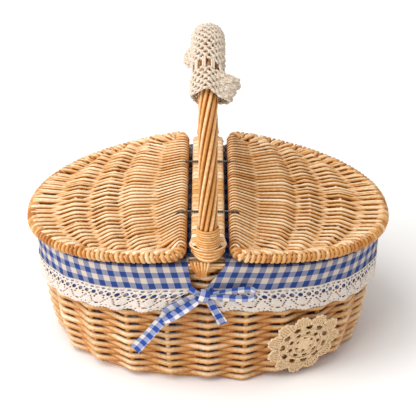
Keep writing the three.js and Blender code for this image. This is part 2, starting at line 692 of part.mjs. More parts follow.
// The gap in the cuff at the handle narrows to the hem, one edge slanting, and opens again down the lace
function gapEdge(side, end, drop) {
  const slanting = side * end < 0;
  const top = slanting ? GAP_SLANT_TOP : GAP_STRAIGHT_TOP;
  const hem = slanting ? GAP_SLANT_HEM : GAP_STRAIGHT_HEM;
  const down = THREE.MathUtils.lerp(top, hem, Math.min(drop / CUFF_DROP, 1));
  const spread = slanting ? LACE_SPREAD_SLANT : LACE_SPREAD_STRAIGHT;
  const opening = spread * Math.max(drop - CUFF_DROP, 0) / LACE_DROP;
  return angleAt(side * (down + opening), RIM_HALF_LENGTH, end);
}
function cuffPlace(side, share) {
  return (drop) => {
    const front = gapEdge(side, -1, drop);
    const back = gapEdge(side, 1, drop);
    const from = side > 0 ? front : back;
    const to = side > 0 ? back : front + 2 * Math.PI;
    return THREE.MathUtils.lerp(from, to, share);
  };
}
const cuffSteps = 22;
for (const [name, side] of [["right", 1], ["left", -1]]) {
  const rings = [];
  for (let i = 0; i <= cuffSteps; i++) {
    const place = cuffPlace(side, i / cuffSteps);
    rings.push([...cuffRing(place, true), ...cuffRing(place, false).reverse()]);
  }
  add(`cuff_${name}`, loft(rings), blue, 0.95);
  const laceRings = [];
  for (let i = 0; i <= 2 * LACE_SCALLOPS; i++) {
    const place = cuffPlace(side, i / (2 * LACE_SCALLOPS));
    const scallop = i % 2 ? 0 : 4;
    const top = CUFF_DROP + 2.5 * CLEARANCE;
    const low = CUFF_DROP + LACE_DROP - scallop;
    const line = [
      [top, cuffReach], [low, cuffReach],
      [low, cuffReach + LACE_THICKNESS], [top, cuffReach + LACE_THICKNESS],
    ];
    laceRings.push(line.map(([drop, offset]) => {
      const angle = place(drop);
      return wall(angle, rimTop(angle) - drop, offset);
    }));
  }
  add(`lace_${name}`, loft(laceRings), 0xefe9dc, 0.95);
}

// Tie at the front: a knot, one loop and two tails, laid outside the lace
const knotDrop = CUFF_DROP + KNOT_BELOW_HEM;
const tieOffset = cuffReach + Math.max(LACE_THICKNESS, CLOTH_THICKNESS) + CLEARANCE;
const knotHalf = vec(KNOT_HALF_WIDTH, KNOT_HALF_DEPTH, KNOT_HALF_HEIGHT);
function tiePoint(x, drop, offset) {
  const angle = angleAt(x, RIM_HALF_LENGTH, -1);
  return wall(angle, rimTop(angle) - drop, offset);
}
const knotX = -KNOT_LEFT;
const knotCentre = tiePoint(knotX, knotDrop, tieOffset + knotHalf.y);
function tailPath(ends, steps) {
  const curve = new THREE.CatmullRomCurve3(ends.map(([x, drop, lift]) => vec(x, drop, lift)));
  return curve.getPoints(steps).map((p) => tiePoint(p.x, p.y, tieOffset + TIE_THICKNESS / 2 + p.z));
}
function tail(path) {
  const across = (i) => {
    const along = path[Math.min(i + 1, path.length - 1)].clone().sub(path[Math.max(i - 1, 0)]);
    const out = oval(Math.atan2(path[i].y, path[i].x), RIM_HALF_LENGTH, RIM_HALF_DEPTH, OVAL_POWER).out;
    return vec(0, 0, 0).crossVectors(out, along);
  };
  return strip(path, across, TIE_WIDTH, TIE_THICKNESS);
}
const knot = new THREE.SphereGeometry(1, 10, 6);
knot.scale(knotHalf.x, knotHalf.y, knotHalf.z);
knot.translate(knotCentre.x, knotCentre.y, knotCentre.z);
add("tie_knot", knot, blue, 0.95);
const loop = Array.from({ length: 20 }, (_, i) => {
  const angle = 2 * Math.PI * i / 20;
  const x = knotX + knotHalf.x + 0.9 + LOOP_LENGTH * (1 - Math.cos(angle)) / 2;
  const lift = LOOP_HALF_HEIGHT * Math.sin(angle) * (0.35 + 0.65 * (1 - Math.cos(angle)) / 2);
  return tiePoint(x, knotDrop - lift - 2, tieOffset + TIE_LOOP_WIDTH / 2);
});
add("tie_loop", strip(loop, () => vec(0, -1, 0.1), TIE_LOOP_WIDTH, TIE_THICKNESS, true), blue, 0.95);
const longTail = tailPath([
  [knotX - knotHalf.x - CLEARANCE, knotDrop + 1, 1.6],
  [knotX - 0.37 * LONG_TAIL_ACROSS, knotDrop + 0.23 * LONG_TAIL_DOWN, 2],
  [knotX - 0.6 * LONG_TAIL_ACROSS, knotDrop + 0.45 * LONG_TAIL_DOWN, 1.2],
  [knotX - LONG_TAIL_ACROSS, knotDrop + LONG_TAIL_DOWN, 1.2],
], 10);
add("tie_long_tail", tail(longTail), blue, 0.95);
const shortTail = tailPath([
  [knotX + 0.4 * knotHalf.x, knotDrop + knotHalf.z - 0.6, 0.6],
  [knotX + 0.53 * SHORT_TAIL_ACROSS, knotDrop + 0.61 * SHORT_TAIL_DOWN, 0.8],
  [knotX + SHORT_TAIL_ACROSS, knotDrop + SHORT_TAIL_DOWN, 0.3],
], 6);
add("tie_short_tail", tail(shortTail), blue, 0.95);

// Crochet cover: a sleeve over the top of the handle, with a pointed flap at each hem
const coverInner = strandRing + STRAND_RADIUS + 2 * CLEARANCE;
function coverRing(turn, thickness, flare, flapAt) {
  return Array.from({ length: 12 }, (_, k) => {
    const angle = -2 * Math.PI * k / 12;
    const flap = flare.flap * Math.max(0, Math.cos(angle - flapAt)) ** 6;
    return roundArch(turn, angle, coverInner + thickness + COVER_HEM_FLARE * flare.hem + flap);
  });
}
const coverSteps = 10;
const coverTurns = Array.from({ length: coverSteps + 1 }, (_, i) =>
  radians(COVER_START_DEG + (COVER_END_DEG - COVER_START_DEG) * i / coverSteps));
const hemFlare = [1, 0.35];
const frontFlap = [0.35, 1];
const backFlap = [1, 0.4];
function coverFlare(i) {
  const front = i < coverSteps / 2;
  const near = front ? i : coverSteps - i;
  const flap = front ? COVER_FRONT_FLAP * (frontFlap[near] ?? 0) : COVER_BACK_FLAP * (backFlap[near] ?? 0);
  return { hem: hemFlare[near] ?? 0, flap };
}
const flapSide = (i) => (i < coverSteps / 2 ? -0.25 : Math.PI + 0.25);
const coverOuterRings = coverTurns.map((turn, i) => coverRing(turn, COVER_THICKNESS, coverFlare(i), flapSide(i)));
const coverInnerRings = coverTurns.map((turn, i) => coverRing(turn, 0, coverFlare(i), flapSide(i))).reverse();
add("crochet_handle_cover", loft([...coverOuterRings, ...coverInnerRings].reverse(), true), 0xeee2c6, 0.95);

// Crochet doily: a ring of petals laid on the front right of the wall
const doilyCentre = radians(DOILY_ANGLE_DEG);
const doilyLine = oval(doilyCentre, RIM_HALF_LENGTH, RIM_HALF_DEPTH, OVAL_POWER).point;
const doilyStep = oval(doilyCentre + 0.01, RIM_HALF_LENGTH, RIM_HALF_DEPTH, OVAL_POWER).point.distanceTo(doilyLine);
function doilyRing(share, offset) {
  const count = DOILY_PETALS * 3;
  return Array.from({ length: count }, (_, k) => {
    const angle = -2 * Math.PI * k / count;
    const petal = 1 + 0.08 * Math.cos(DOILY_PETALS * angle);
    const reach = DOILY_RADIUS * share * (share > 0.9 ? petal : 1);
    const swing = doilyCentre + 0.01 * reach * Math.cos(angle) / doilyStep;
    return wall(swing, DOILY_HEIGHT + reach * Math.sin(angle), offset);
  });
}
const doilyBack = wallHalf + CLEARANCE + 0.4;
add("crochet_doily", loft([
  doilyRing(0.5, doilyBack),
  doilyRing(1, doilyBack),
  doilyRing(1, doilyBack + DOILY_THICKNESS * 0.6),
  doilyRing(0.5, doilyBack + DOILY_THICKNESS),
]), 0xe6d3ab, 0.95);

export default basket;
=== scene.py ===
"""Willow picnic basket with two lids, a twisted handle, a checked liner, lace and crochet.

Metres, +Z up, X along the basket, the tied front at -Y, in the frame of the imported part.
"""

import math

import bpy
import numpy as np
from bpy.props import FloatProperty, FloatVectorProperty, IntProperty, PointerProperty
from bpy.types import Operator, Panel, PropertyGroup
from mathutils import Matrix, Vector


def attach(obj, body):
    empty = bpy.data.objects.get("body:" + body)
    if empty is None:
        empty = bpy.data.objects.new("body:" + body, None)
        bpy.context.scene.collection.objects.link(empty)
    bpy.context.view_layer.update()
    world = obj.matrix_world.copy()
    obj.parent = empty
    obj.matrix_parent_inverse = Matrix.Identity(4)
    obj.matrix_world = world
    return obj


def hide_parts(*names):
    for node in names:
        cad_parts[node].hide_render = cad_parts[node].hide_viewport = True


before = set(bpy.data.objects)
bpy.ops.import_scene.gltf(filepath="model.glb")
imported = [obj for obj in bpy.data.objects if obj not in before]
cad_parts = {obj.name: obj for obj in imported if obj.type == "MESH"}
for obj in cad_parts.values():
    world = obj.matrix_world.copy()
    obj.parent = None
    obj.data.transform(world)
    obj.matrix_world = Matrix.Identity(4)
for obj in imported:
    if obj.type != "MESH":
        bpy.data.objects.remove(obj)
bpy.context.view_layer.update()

bl_info = {
    "name": "Willow picnic basket",
    "version": (1, 0, 0),
    "blender": (4, 5, 0),
    "location": "3D Viewport > Sidebar > Basket",
    "description": "Weaves an oval willow basket with lids, handle, checked liner, lace and crochet",
    "category": "Object",
}

# Directions, and the angles of the two sides that carry the handle
UP = np.array((0.0, 0.0, 1.0))
ACROSS = np.array((1.0, 0.0, 0.0))
DEEP = np.array((0.0, 1.0, 0.0))
FRONT = -math.pi / 2
BACK = math.pi / 2

# Wall, base and rim, fitted to the solid parts
RIM_HALF_LENGTH = 0.1775
RIM_HALF_DEPTH = 0.122
BASE_HALF_LENGTH = 0.160
BASE_HALF_DEPTH = 0.108
OVAL_POWER = 2.2
WALL_ROUNDNESS = 3.2
RIM_HEIGHT = 0.161
RIM_SADDLE_LENGTH = 0.030
STAKE_GAPS_RIGHT = 12
STAKE_GAPS_LEFT = 11
STAKE_COUNT = STAKE_GAPS_RIGHT + STAKE_GAPS_LEFT
FOOT_HEIGHT = 0.0043

# Handle and bar, fitted to the solid parts
HANDLE_SPRING = 0.168
HANDLE_RISE = 0.1755
STRAND_START = 0.1785
STRAND_RING = 0.0076
STRAND_TURNS = 1.9
STRAND_FLARE = 0.0016
STRAND_NODES = 8
COLLAR_HEIGHT = 0.0217
BAR_HALF_WIDTH = 0.0175
BAR_BOTTOM = 0.166
BAR_TOP = 0.177
BAR_HALF_LENGTH = 0.117

# Lids and hinges, fitted to the solid parts
LID_SLOPE = math.radians(7.5)
LID_HOOP_LENGTH = 0.1938
LID_HOOP_DEPTH = 0.1331
LID_OVAL_POWER = 2.18
LID_ROD_RADIUS = 0.0032
LID_RIB_MIDDLES = (0.056, 0.083, 0.112, 0.147)
LID_RIB_ENDS = (0.049, 0.066, 0.091, 0.118)
HINGE_X = 0.0283
HINGE_Z = 0.17185
HINGE_WIRE_Y = 0.0546

# Cloth and crochet, fitted to the solid parts
FLOOR_HEIGHT = 0.0080
CUFF_DROP = 0.028
CUFF_INNER = 0.022
CUFF_OFFSET = 0.0103
LACE_DROP = 0.030
COVER_START = math.radians(58)
COVER_END = math.radians(131)
COVER_RADIUS = 0.0155
DOILY_ANGLE = math.radians(-57)
DOILY_HEIGHT = 0.046

# Sizes of the looks alone
WALL_FIRST_ROW = 0.0044
WALL_TOP_GAP = 0.0085
WALL_STRAY = 0.0004
LID_CORNER = 0.009
LID_RIB_LIFT = 0.0036
LID_FIRST_RIB_LEVEL = -0.0048
LID_STRAY = 0.20
LID_SLIM = 0.14
LACE_PATTERN = 0.026

# Painted light and shade of the looks alone: how much paler a rod is painted on its lit side and darker
# on its shaded sides, and how uneven a gloss is
ROD_PAINTED_LIGHT = 0.70
PAINTED_SHADE_DARKEST = -0.35
PAINTED_UNDERSIDE_LIGHT = 1.6
WALL_PAINTED_LIGHT = 0.44
STRAND_PAINTED_LIGHT = 1.05
COLLAR_PAINTED_LIGHT = 0.40
ROUGHNESS_SWING = 0.30


class WeaveSettings(PropertyGroup):
    """Willow of the wall and base."""

    row_pitch: FloatProperty(
        name="Row pitch", description="Height of one round of the wall weave",
        default=0.0051, unit="LENGTH",
    )
    rod_radius: FloatProperty(
        name="Rod radius", description="Radius of a wall rod",
        default=0.0029, unit="LENGTH",
    )
    stake_radius: FloatProperty(
        name="Stake radius", description="Radius of an upright stake",
        default=0.0025, unit="LENGTH",
    )
    dark: FloatVectorProperty(
        name="Dark willow", description="Tone of the darkest rods",
        default=(0.40, 0.120, 0.010), subtype="COLOR", min=0, max=1,
    )
    middle: FloatVectorProperty(
        name="Willow", description="Tone of most rods",
        default=(0.65, 0.315, 0.084), subtype="COLOR", min=0, max=1,
    )
    pale: FloatVectorProperty(
        name="Pale willow", description="Tone of the palest rods",
        default=(0.92, 0.72, 0.475), subtype="COLOR", min=0, max=1,
    )


class HandleSettings(PropertyGroup):
    """Twisted handle, its windings and the bar."""

    strands: IntProperty(
        name="Strands", description="Rods twisted round the handle",
        default=10, min=4,
    )
    strand_radius: FloatProperty(
        name="Strand radius", description="Radius of a twisted rod",
        default=0.00226, unit="LENGTH",
    )
    collar_turns: IntProperty(
        name="Collar turns", description="Turns of fine cane in a collar",
        default=8, min=3,
    )
    cane_radius: FloatProperty(
        name="Cane radius", description="Radius of the winding cane",
        default=0.0012, unit="LENGTH",
    )
    bar_strips: IntProperty(
        name="Bar strips", description="Cane strips wound on the bar",
        default=29, min=10,
    )


class LidSettings(PropertyGroup):
    """Woven lids."""

    weavers: IntProperty(
        name="Weavers", description="Rods across one lid",
        default=82, min=10,
    )
    weaver_pitch: FloatProperty(
        name="Weaver pitch", description="Spacing of the rods on the hinge rod",
        default=0.00296, unit="LENGTH",
    )
    weaver_radius: FloatProperty(
        name="Weaver radius", description="Radius of a lid rod",
        default=0.0023, unit="LENGTH",
    )
    fan: FloatProperty(
        name="Fan", description="Angle of the outermost rod's end",
        default=math.radians(81), subtype="ANGLE",
    )
    rim_wraps: IntProperty(
        name="Rim wraps", description="Turns bound round the edge of a lid",
        default=90, min=20,
    )
    seed: IntProperty(
        name="Seed", description="Chooses which rods are dark or pale",
        default=11,
    )


class ClothSettings(PropertyGroup):
    """Checked cloth and lace."""

    check: FloatProperty(
        name="Check", description="Side of one check",
        default=0.0065, unit="LENGTH",
    )
    blue: FloatVectorProperty(
        name="Blue", description="Full blue of the checks",
        default=(0.024, 0.068, 0.32), subtype="COLOR", min=0, max=1,
    )
    half_blue: FloatVectorProperty(
        name="Half blue", description="Blue crossed with white",
        default=(0.27, 0.30, 0.47), subtype="COLOR", min=0, max=1,
    )
    white: FloatVectorProperty(
        name="White", description="White of the checks",
        default=(0.72, 0.67, 0.64), subtype="COLOR", min=0, max=1,
    )
    lace_period: FloatProperty(
        name="Lace period", description="Width of one lace scallop",
        default=0.026, unit="LENGTH",
    )
    lace: FloatVectorProperty(
        name="Lace", description="Tone of the lace",
        default=(0.74, 0.685, 0.65), subtype="COLOR", min=0, max=1,
    )


class CrochetSettings(PropertyGroup):
    """Crocheted handle cover and doily."""

    yarn_radius: FloatProperty(
        name="Yarn radius", description="Radius of the cover's yarn",
        default=0.0014, unit="LENGTH",
    )
    loops: IntProperty(
        name="Loops", description="Loops in one round of the cover",
        default=13, min=8,
    )
    rounds: IntProperty(
        name="Rounds", description="Rounds of loops along the cover",
        default=38, min=12,
    )
    petals: IntProperty(
        name="Petals", description="Petals of the doily",
        default=11, min=5,
    )
    cream: FloatVectorProperty(
        name="Cream", description="Tone of the cover",
        default=(0.74, 0.655, 0.56), subtype="COLOR", min=0, max=1,
    )
    ecru: FloatVectorProperty(
        name="Ecru", description="Tone of the doily",
        default=(0.83, 0.635, 0.415), subtype="COLOR", min=0, max=1,
    )


class StageSettings(PropertyGroup):
    """Light and camera."""

    key: FloatProperty(
        name="Key light", description="Strength of the main light",
        default=104.0, unit="POWER",
    )
    side: FloatProperty(
        name="Side light", description="Strength of the low light on the left",
        default=26.0, unit="POWER",
    )
    sky: FloatProperty(
        name="Sky", description="Strength of the even light",
        default=0.64,
    )
    distance: FloatProperty(
        name="Camera distance", description="From the camera to its aim",
        default=1.503, unit="LENGTH",
    )
    elevation: FloatProperty(
        name="Camera elevation", description="Height of the view",
        default=math.radians(30.8), subtype="ANGLE",
    )
    aim_height: FloatProperty(
        name="Aim height", description="Height that the camera looks at",
        default=0.1504, unit="LENGTH",
    )
    lens: FloatProperty(
        name="Lens", description="Focal length in millimetres",
        default=118.2,
    )


def unit(vectors):
    """Vectors of length one."""
    return vectors / np.maximum(np.linalg.norm(vectors, axis=-1, keepdims=True), 1e-12)


def distances(path):
    """Distance along a path at each of its points."""
    return np.concatenate(([0.0], np.cumsum(np.linalg.norm(np.diff(path, axis=0), axis=1))))


def cells(grid):
    """The four corners of each cell of a grid."""
    return np.stack((grid[:-1, :-1], grid[1:, :-1], grid[1:, 1:], grid[:-1, 1:]), -1)


def oval(angle, half_length, half_depth, power=OVAL_POWER):
    """A point of a rounded oval and the direction out of it."""
    c = np.cos(angle)
    s = np.sin(angle)
    px = np.sign(c) * np.abs(c) ** (2 / power)
    py = np.sign(s) * np.abs(s) ** (2 / power)
    ox = np.sign(c) * np.abs(px) ** (power - 1) / half_length
    oy = np.sign(s) * np.abs(py) ** (power - 1) / half_depth
    size = np.hypot(ox, oy)
    return half_length * px, half_depth * py, ox / size, oy / size


def rim_top(angle):
    """Height of the rim, which dips from the handle to both ends."""
    x = oval(angle, RIM_HALF_LENGTH, RIM_HALF_DEPTH)[0]
    return RIM_HEIGHT - math.tan(LID_SLOPE) * (np.hypot(x, RIM_SADDLE_LENGTH) - RIM_SADDLE_LENGTH)


def wall(angle, height, offset):
    """Points on the wall at the given heights, moved out by the offset."""
    angle, height, offset = np.broadcast_arrays(angle, height, offset)
    share = np.clip(height / rim_top(angle), 0, 1)
    spread = 1 - (1 - share) ** WALL_ROUNDNESS
    length = BASE_HALF_LENGTH + (RIM_HALF_LENGTH - BASE_HALF_LENGTH) * spread
    depth = BASE_HALF_DEPTH + (RIM_HALF_DEPTH - BASE_HALF_DEPTH) * spread
    x, y, ox, oy = oval(angle, length, depth)
    return np.stack((x + offset * ox, y + offset * oy, height), -1)


def outward(angle):
    """Direction out of the wall."""
    ox, oy = oval(angle, RIM_HALF_LENGTH, RIM_HALF_DEPTH)[2:]
    return np.stack((ox, oy, np.zeros_like(ox)), -1)


ARC_ANGLES = np.linspace(FRONT, FRONT + 2 * math.pi, 7201)
ARC_LINE = np.stack(oval(ARC_ANGLES, RIM_HALF_LENGTH, RIM_HALF_DEPTH)[:2], -1)
ARC_LENGTHS = distances(ARC_LINE)
ARC_TOTAL = ARC_LENGTHS[-1]
ARC_HALF = float(np.interp(BACK, ARC_ANGLES, ARC_LENGTHS))
STAKE_ARCS = np.concatenate((
    np.arange(STAKE_GAPS_RIGHT) * ARC_HALF / STAKE_GAPS_RIGHT,
    ARC_HALF + np.arange(STAKE_GAPS_LEFT + 1) * (ARC_TOTAL - ARC_HALF) / STAKE_GAPS_LEFT,
))


def angle_at_arc(arc):
    """Angle at a distance round the rim from the front."""
    turns = np.floor(arc / ARC_TOTAL)
    return np.interp(arc - turns * ARC_TOTAL, ARC_LENGTHS, ARC_ANGLES) + 2 * math.pi * turns


def arc_at_angle(angle):
    """Distance round the rim from the front."""
    turns = np.floor((angle - FRONT) / (2 * math.pi))
    return np.interp(angle - 2 * math.pi * turns, ARC_ANGLES, ARC_LENGTHS) + ARC_TOTAL * turns


def angle_at_x(x, end):
    """Angle on the front (end -1) or back (end 1) of the rim at a given X."""
    c = np.sign(x) * (np.abs(x) / RIM_HALF_LENGTH) ** (OVAL_POWER / 2)
    return np.arctan2(end * np.sqrt(np.maximum(0, 1 - c * c)), c)


def smooth(share):
    """Eases a share from 0 to 1."""
    share = np.clip(share, 0, 1)
    return share * share * (3 - 2 * share)


def bend(share, rounding):
    """Falls from 1 to -1: straight between two supports and rounded over each."""
    near = np.minimum(share, 1 - share)
    rounded = 1 - rounding - near * near / rounding
    level = np.where(near < rounding, rounded, 1 - 2 * near) / (1 - rounding)
    return np.where(share <= 0.5, level, -level)


def spline(points, count):
    """A smooth line through the points."""
    points = np.asarray(points, float)
    line = np.vstack((2 * points[0] - points[1], points, 2 * points[-1] - points[-2]))
    place = np.linspace(0, len(points) - 1 - 1e-9, count)
    k = place.astype(int)
    t = (place - k)[:, None]
    a, b, c, d = line[k], line[k + 1], line[k + 2], line[k + 3]
    squared = 2 * a - 5 * b + 4 * c - d
    cubed = 3 * b - a - 3 * c + d
    return 0.5 * (2 * b + (c - a) * t + squared * t ** 2 + cubed * t ** 3)


def show(name, mesh, finish, body, nodes):
    """Puts a mesh in the scene as the looks of CAD nodes; a wound mesh already has its finish."""
    if finish is not None:
        mesh.materials.append(stocked(finish))
    mesh.polygons.foreach_set("use_smooth", np.ones(len(mesh.polygons), bool))
    mesh.update()
    piece = bpy.data.objects.new(name, mesh)
    bpy.context.scene.collection.objects.link(piece)
    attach(piece, body)
    if nodes:
        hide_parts(*nodes)
    return piece


class Bundle:
    """Rods of one piece, gathered into a single mesh with a shade and a distance along each."""

    def __init__(self, sides):
        self.sides = sides
        self.points = []
        self.faces = []
        self.shades = []
        self.lengths = []
        self.count = 0

    def add(self, path, radius, shade, up=UP, closed=False, lit=None):
        """Adds a round rod along a path, with painted light where lit points, or else painted light
        above and below and painted shade on its sides.
        """
        path = np.asarray(path, float)
        steps = len(path)
        if closed:
            ahead = unit(np.roll(path, -1, 0) - np.roll(path, 1, 0))
        else:
            ahead = unit(np.gradient(path, axis=0))
        side = unit(np.cross(ahead, np.broadcast_to(up, path.shape)))
        rise = np.cross(ahead, side)
        turn = 2 * math.pi * np.arange(self.sides) / self.sides
        reach = np.broadcast_to(radius, steps)[:, None, None]
        ring = side[:, None] * np.cos(turn)[:, None] + rise[:, None] * np.sin(turn)[:, None]
        self.points.append((path[:, None] + reach * ring).reshape(-1, 3))
        grid = self.count + np.arange(steps * self.sides).reshape(steps, self.sides)
        here = grid if closed else grid[:-1]
        there = np.roll(grid, -1, 0) if closed else grid[1:]
        quads = np.stack((here, np.roll(here, -1, 1), np.roll(there, -1, 1), there), -1)
        self.faces.extend(quads.reshape(-1, 4).tolist())
        if not closed:
            self.faces.append(grid[0][::-1].tolist())
            self.faces.append(grid[-1].tolist())
        # Painted light and shade: by default paler on top and underneath, darkest on the sides where
        # the rods meet
        if lit is None:
            painted_underside = PAINTED_SHADE_DARKEST + PAINTED_UNDERSIDE_LIGHT * (PAINTED_SHADE_DARKEST - ring[..., 2])
            paler = ROD_PAINTED_LIGHT * np.maximum(ring[..., 2], painted_underside)
        else:
            paler = (ring * np.broadcast_to(lit, path.shape)[:, None]).sum(-1)
        toned = np.broadcast_to(shade, steps)[:, None] + paler
        self.shades.append(toned.ravel())
        self.lengths.append(np.repeat(distances(path), self.sides))
        self.count += steps * self.sides

    def piece(self, name, finish, body, nodes, slot):
        """The gathered rods as one object."""
        mesh = bpy.data.meshes.new(name)
        mesh.from_pydata(np.concatenate(self.points).tolist(), [], self.faces)
        for label, values in (("shade", self.shades), ("along", self.lengths)):
            layer = mesh.attributes.new(label, "FLOAT", "POINT")
            layer.data.foreach_set("value", np.concatenate(values).astype(np.float32))
        return show(name, mesh, finish, body, nodes)


class Cloth:
    """Thin surfaces of one cloth piece, with the flat cloth's own coordinates."""

    def __init__(self):
        self.points = []
        self.flat = []
        self.faces = []
        self.count = 0

    def add(self, points, flat, keep=None):
        """Adds a grid of points; keep says which of its cells are cloth and which are holes."""
        rows, columns = points.shape[:2]
        grid = self.count + np.arange(rows * columns).reshape(rows, columns)
        quads = cells(grid).reshape(-1, 4) if keep is None else cells(grid)[keep]
        self.points.append(points.reshape(-1, 3))
        self.flat.append(flat.reshape(-1, 2))
        self.faces.append(quads)
        self.count += rows * columns

    def piece(self, name, finish, body, nodes, slot):
        """The surfaces as one object, without the points that no face uses."""
        points = np.concatenate(self.points)
        flat = np.concatenate(self.flat)
        faces = np.concatenate(self.faces)
        used = np.unique(faces)
        number = np.full(len(points), -1)
        number[used] = np.arange(len(used))
        faces = number[faces]
        mesh = bpy.data.meshes.new(name)
        mesh.from_pydata(points[used].tolist(), [], faces.tolist())
        layer = mesh.uv_layers.new(name="Cloth")
        corners = np.empty(len(mesh.loops), np.int32)
        mesh.loops.foreach_get("vertex_index", corners)
        layer.data.foreach_set("uv", flat[used][corners].astype(np.float32).ravel())
        return show(name, mesh, finish, body, nodes)


class Nodes:
    """A node tree that is filled step by step."""

    def __init__(self, tree):
        self.tree = tree

    def add(self, kind, values=None, **settings):
        """Adds a node; each value is a number, a colour or another node's output."""
        node = self.tree.nodes.new(kind)
        for key, value in settings.items():
            setattr(node, key, value)
        for key, value in (values or {}).items():
            if isinstance(value, bpy.types.NodeSocket):
                self.tree.links.new(value, node.inputs[key])
            else:
                node.inputs[key].default_value = value
        return node

    def sum(self, operation, first, second=0.0):
        """The result of one sum."""
        return self.add("ShaderNodeMath", {0: first, 1: second}, operation=operation).outputs[0]

    def swing(self, value, size):
        """A value from 0 to 1 turned into a swing of the given size about 0."""
        return self.sum("MULTIPLY", self.sum("SUBTRACT", value, 0.5), size)

    def noise(self, place, scale, detail):
        """An uneven value from 0 to 1."""
        values = {"Vector": place, "Scale": scale, "Detail": detail}
        return self.add("ShaderNodeTexNoise", values).outputs["Fac"]

    def ramp(self, value, stops):
        """A colour for each value, between the given stops."""
        node = self.add("ShaderNodeValToRGB", {0: value})
        elements = node.color_ramp.elements
        while len(elements) < len(stops):
            elements.new(0.5)
        for element, (place, colour) in zip(elements, stops):
            element.position = place
            element.color = (*colour, 1)
        return node.outputs[0]


def material(name):
    """Starts a new material and returns its nodes and its shader."""
    made = bpy.data.materials.new(name)
    made.use_nodes = True
    return Nodes(made.node_tree), made.node_tree.nodes["Principled BSDF"]


def dress(nodes, shader, colour, grain, relief, roughness, specular):
    """Gives a shader its colour, and the bump and the uneven roughness of a grain."""
    strength, depth = relief
    link = nodes.tree.links.new
    bump = nodes.add("ShaderNodeBump", {"Strength": strength, "Distance": depth, "Height": grain})
    uneven = nodes.sum("ADD", nodes.swing(grain, ROUGHNESS_SWING), roughness)
    link(colour, shader.inputs["Base Color"])
    link(bump.outputs[0], shader.inputs["Normal"])
    link(uneven, shader.inputs["Roughness"])
    shader.inputs["Specular IOR Level"].default_value = specular


def willow_material(name, tones, roughness):
    """Willow or cane: the rod's shade, which holds its own tone and its painted light and shade,
    streaks along it and a dull sheen.
    """
    streaks_per_metre = 22.0
    shade_apart = 91.0
    streak_depth = 0.75
    speckles_per_metre = 260.0
    speckle_depth = 0.45
    nodes, shader = material(name)
    shade = nodes.add("ShaderNodeAttribute", attribute_name="shade").outputs["Fac"]
    along = nodes.add("ShaderNodeAttribute", attribute_name="along").outputs["Fac"]
    place = nodes.add("ShaderNodeTexCoord").outputs["Object"]
    streak_at = nodes.add("ShaderNodeCombineXYZ", {
        0: nodes.sum("MULTIPLY", along, streaks_per_metre),
        1: nodes.sum("MULTIPLY", shade, shade_apart),
    }).outputs[0]
    streak = nodes.swing(nodes.noise(streak_at, 1.0, 2.0), streak_depth)
    mottle = nodes.noise(place, speckles_per_metre, 3.0)
    tone = nodes.sum("ADD", nodes.sum("ADD", shade, streak), nodes.swing(mottle, speckle_depth))
    colour = nodes.ramp(tone, [(0.05, tones[0]), (0.5, tones[1]), (0.95, tones[2])])
    dress(nodes, shader, colour, mottle, (0.25, 0.0003), roughness, 0.45)


def gingham_material(name, check, white, half_blue, blue):
    """Checked cloth woven from its own coordinates."""
    threads_per_metre = 2600.0
    slubs_per_metre = 170.0
    thread_depth = 0.44
    nodes, shader = material(name)
    place = nodes.add("ShaderNodeUVMap", uv_map="Cloth").outputs[0]
    parts = nodes.add("ShaderNodeSeparateXYZ", {0: place}).outputs
    stripes = []
    for value in parts[0:2]:
        turned = nodes.sum("DIVIDE", value, 2 * check)
        stripes.append(nodes.sum("LESS_THAN", nodes.sum("FRACT", turned), 0.5))
    count = nodes.sum("ADD", stripes[0], stripes[1])
    threads = []
    for across, along in ((0, 1), (1, 0)):
        stretched = nodes.add("ShaderNodeCombineXYZ", {
            0: nodes.sum("MULTIPLY", parts[across], threads_per_metre),
            1: nodes.sum("MULTIPLY", parts[along], slubs_per_metre),
        }).outputs[0]
        threads.append(nodes.noise(stretched, 1.0, 1.0))
    weave = nodes.sum("MULTIPLY", nodes.sum("ADD", threads[0], threads[1]), 0.5)
    level = nodes.sum("ADD", nodes.sum("MULTIPLY", count, 0.5), nodes.swing(weave, thread_depth))
    colour = nodes.ramp(level, [
        (0.0, white), (0.22, white), (0.33, half_blue), (0.66, half_blue), (0.82, blue), (1.0, blue),
    ])
    dress(nodes, shader, colour, weave, (0.3, 0.0004), 0.88, 0.2)


def yarn_material(name, colour, grain, depth):
    """Cotton yarn with a fine grain, painted with deeper shade where the grain's bump is low."""
    hollow_shade = (0.78, 0.68, 0.56)
    nodes, shader = material(name)
    place = nodes.add("ShaderNodeTexCoord").outputs["Object"]
    fine = nodes.noise(place, grain, 3.0)
    # The deep tone is painted shade in the hollows of the grain's bump
    deep = tuple(part * rate for part, rate in zip(colour, hollow_shade))
    tone = nodes.ramp(fine, [(0.3, deep), (0.62, colour)])
    dress(nodes, shader, tone, fine, (0.5, depth), 0.92, 0.15)


def wire_material(name):
    """Dark drawn steel, dulled and browned in places."""
    browned = (0.11, 0.09, 0.075)
    steel = (0.16, 0.15, 0.14)
    worn = (0.23, 0.20, 0.17)
    nodes, shader = material(name)
    place = nodes.add("ShaderNodeTexCoord").outputs["Object"]
    spots = nodes.noise(place, 420.0, 3.0)
    colour = nodes.ramp(spots, [(0.35, browned), (0.52, steel), (0.7, worn)])
    dress(nodes, shader, colour, spots, (0.2, 0.0001), 0.42, 0.5)
    shader.inputs["Metallic"].default_value = 0.9


def stocked(name):
    """A material that was made before, by its name."""
    return bpy.data.materials[name]


def arch(turn):
    """The handle's line, from the front rim over to the back rim."""
    turn = np.asarray(turn, float)
    return np.stack((
        np.zeros_like(turn), -RIM_HALF_DEPTH * np.cos(turn), HANDLE_SPRING + HANDLE_RISE * np.sin(turn),
    ), -1)


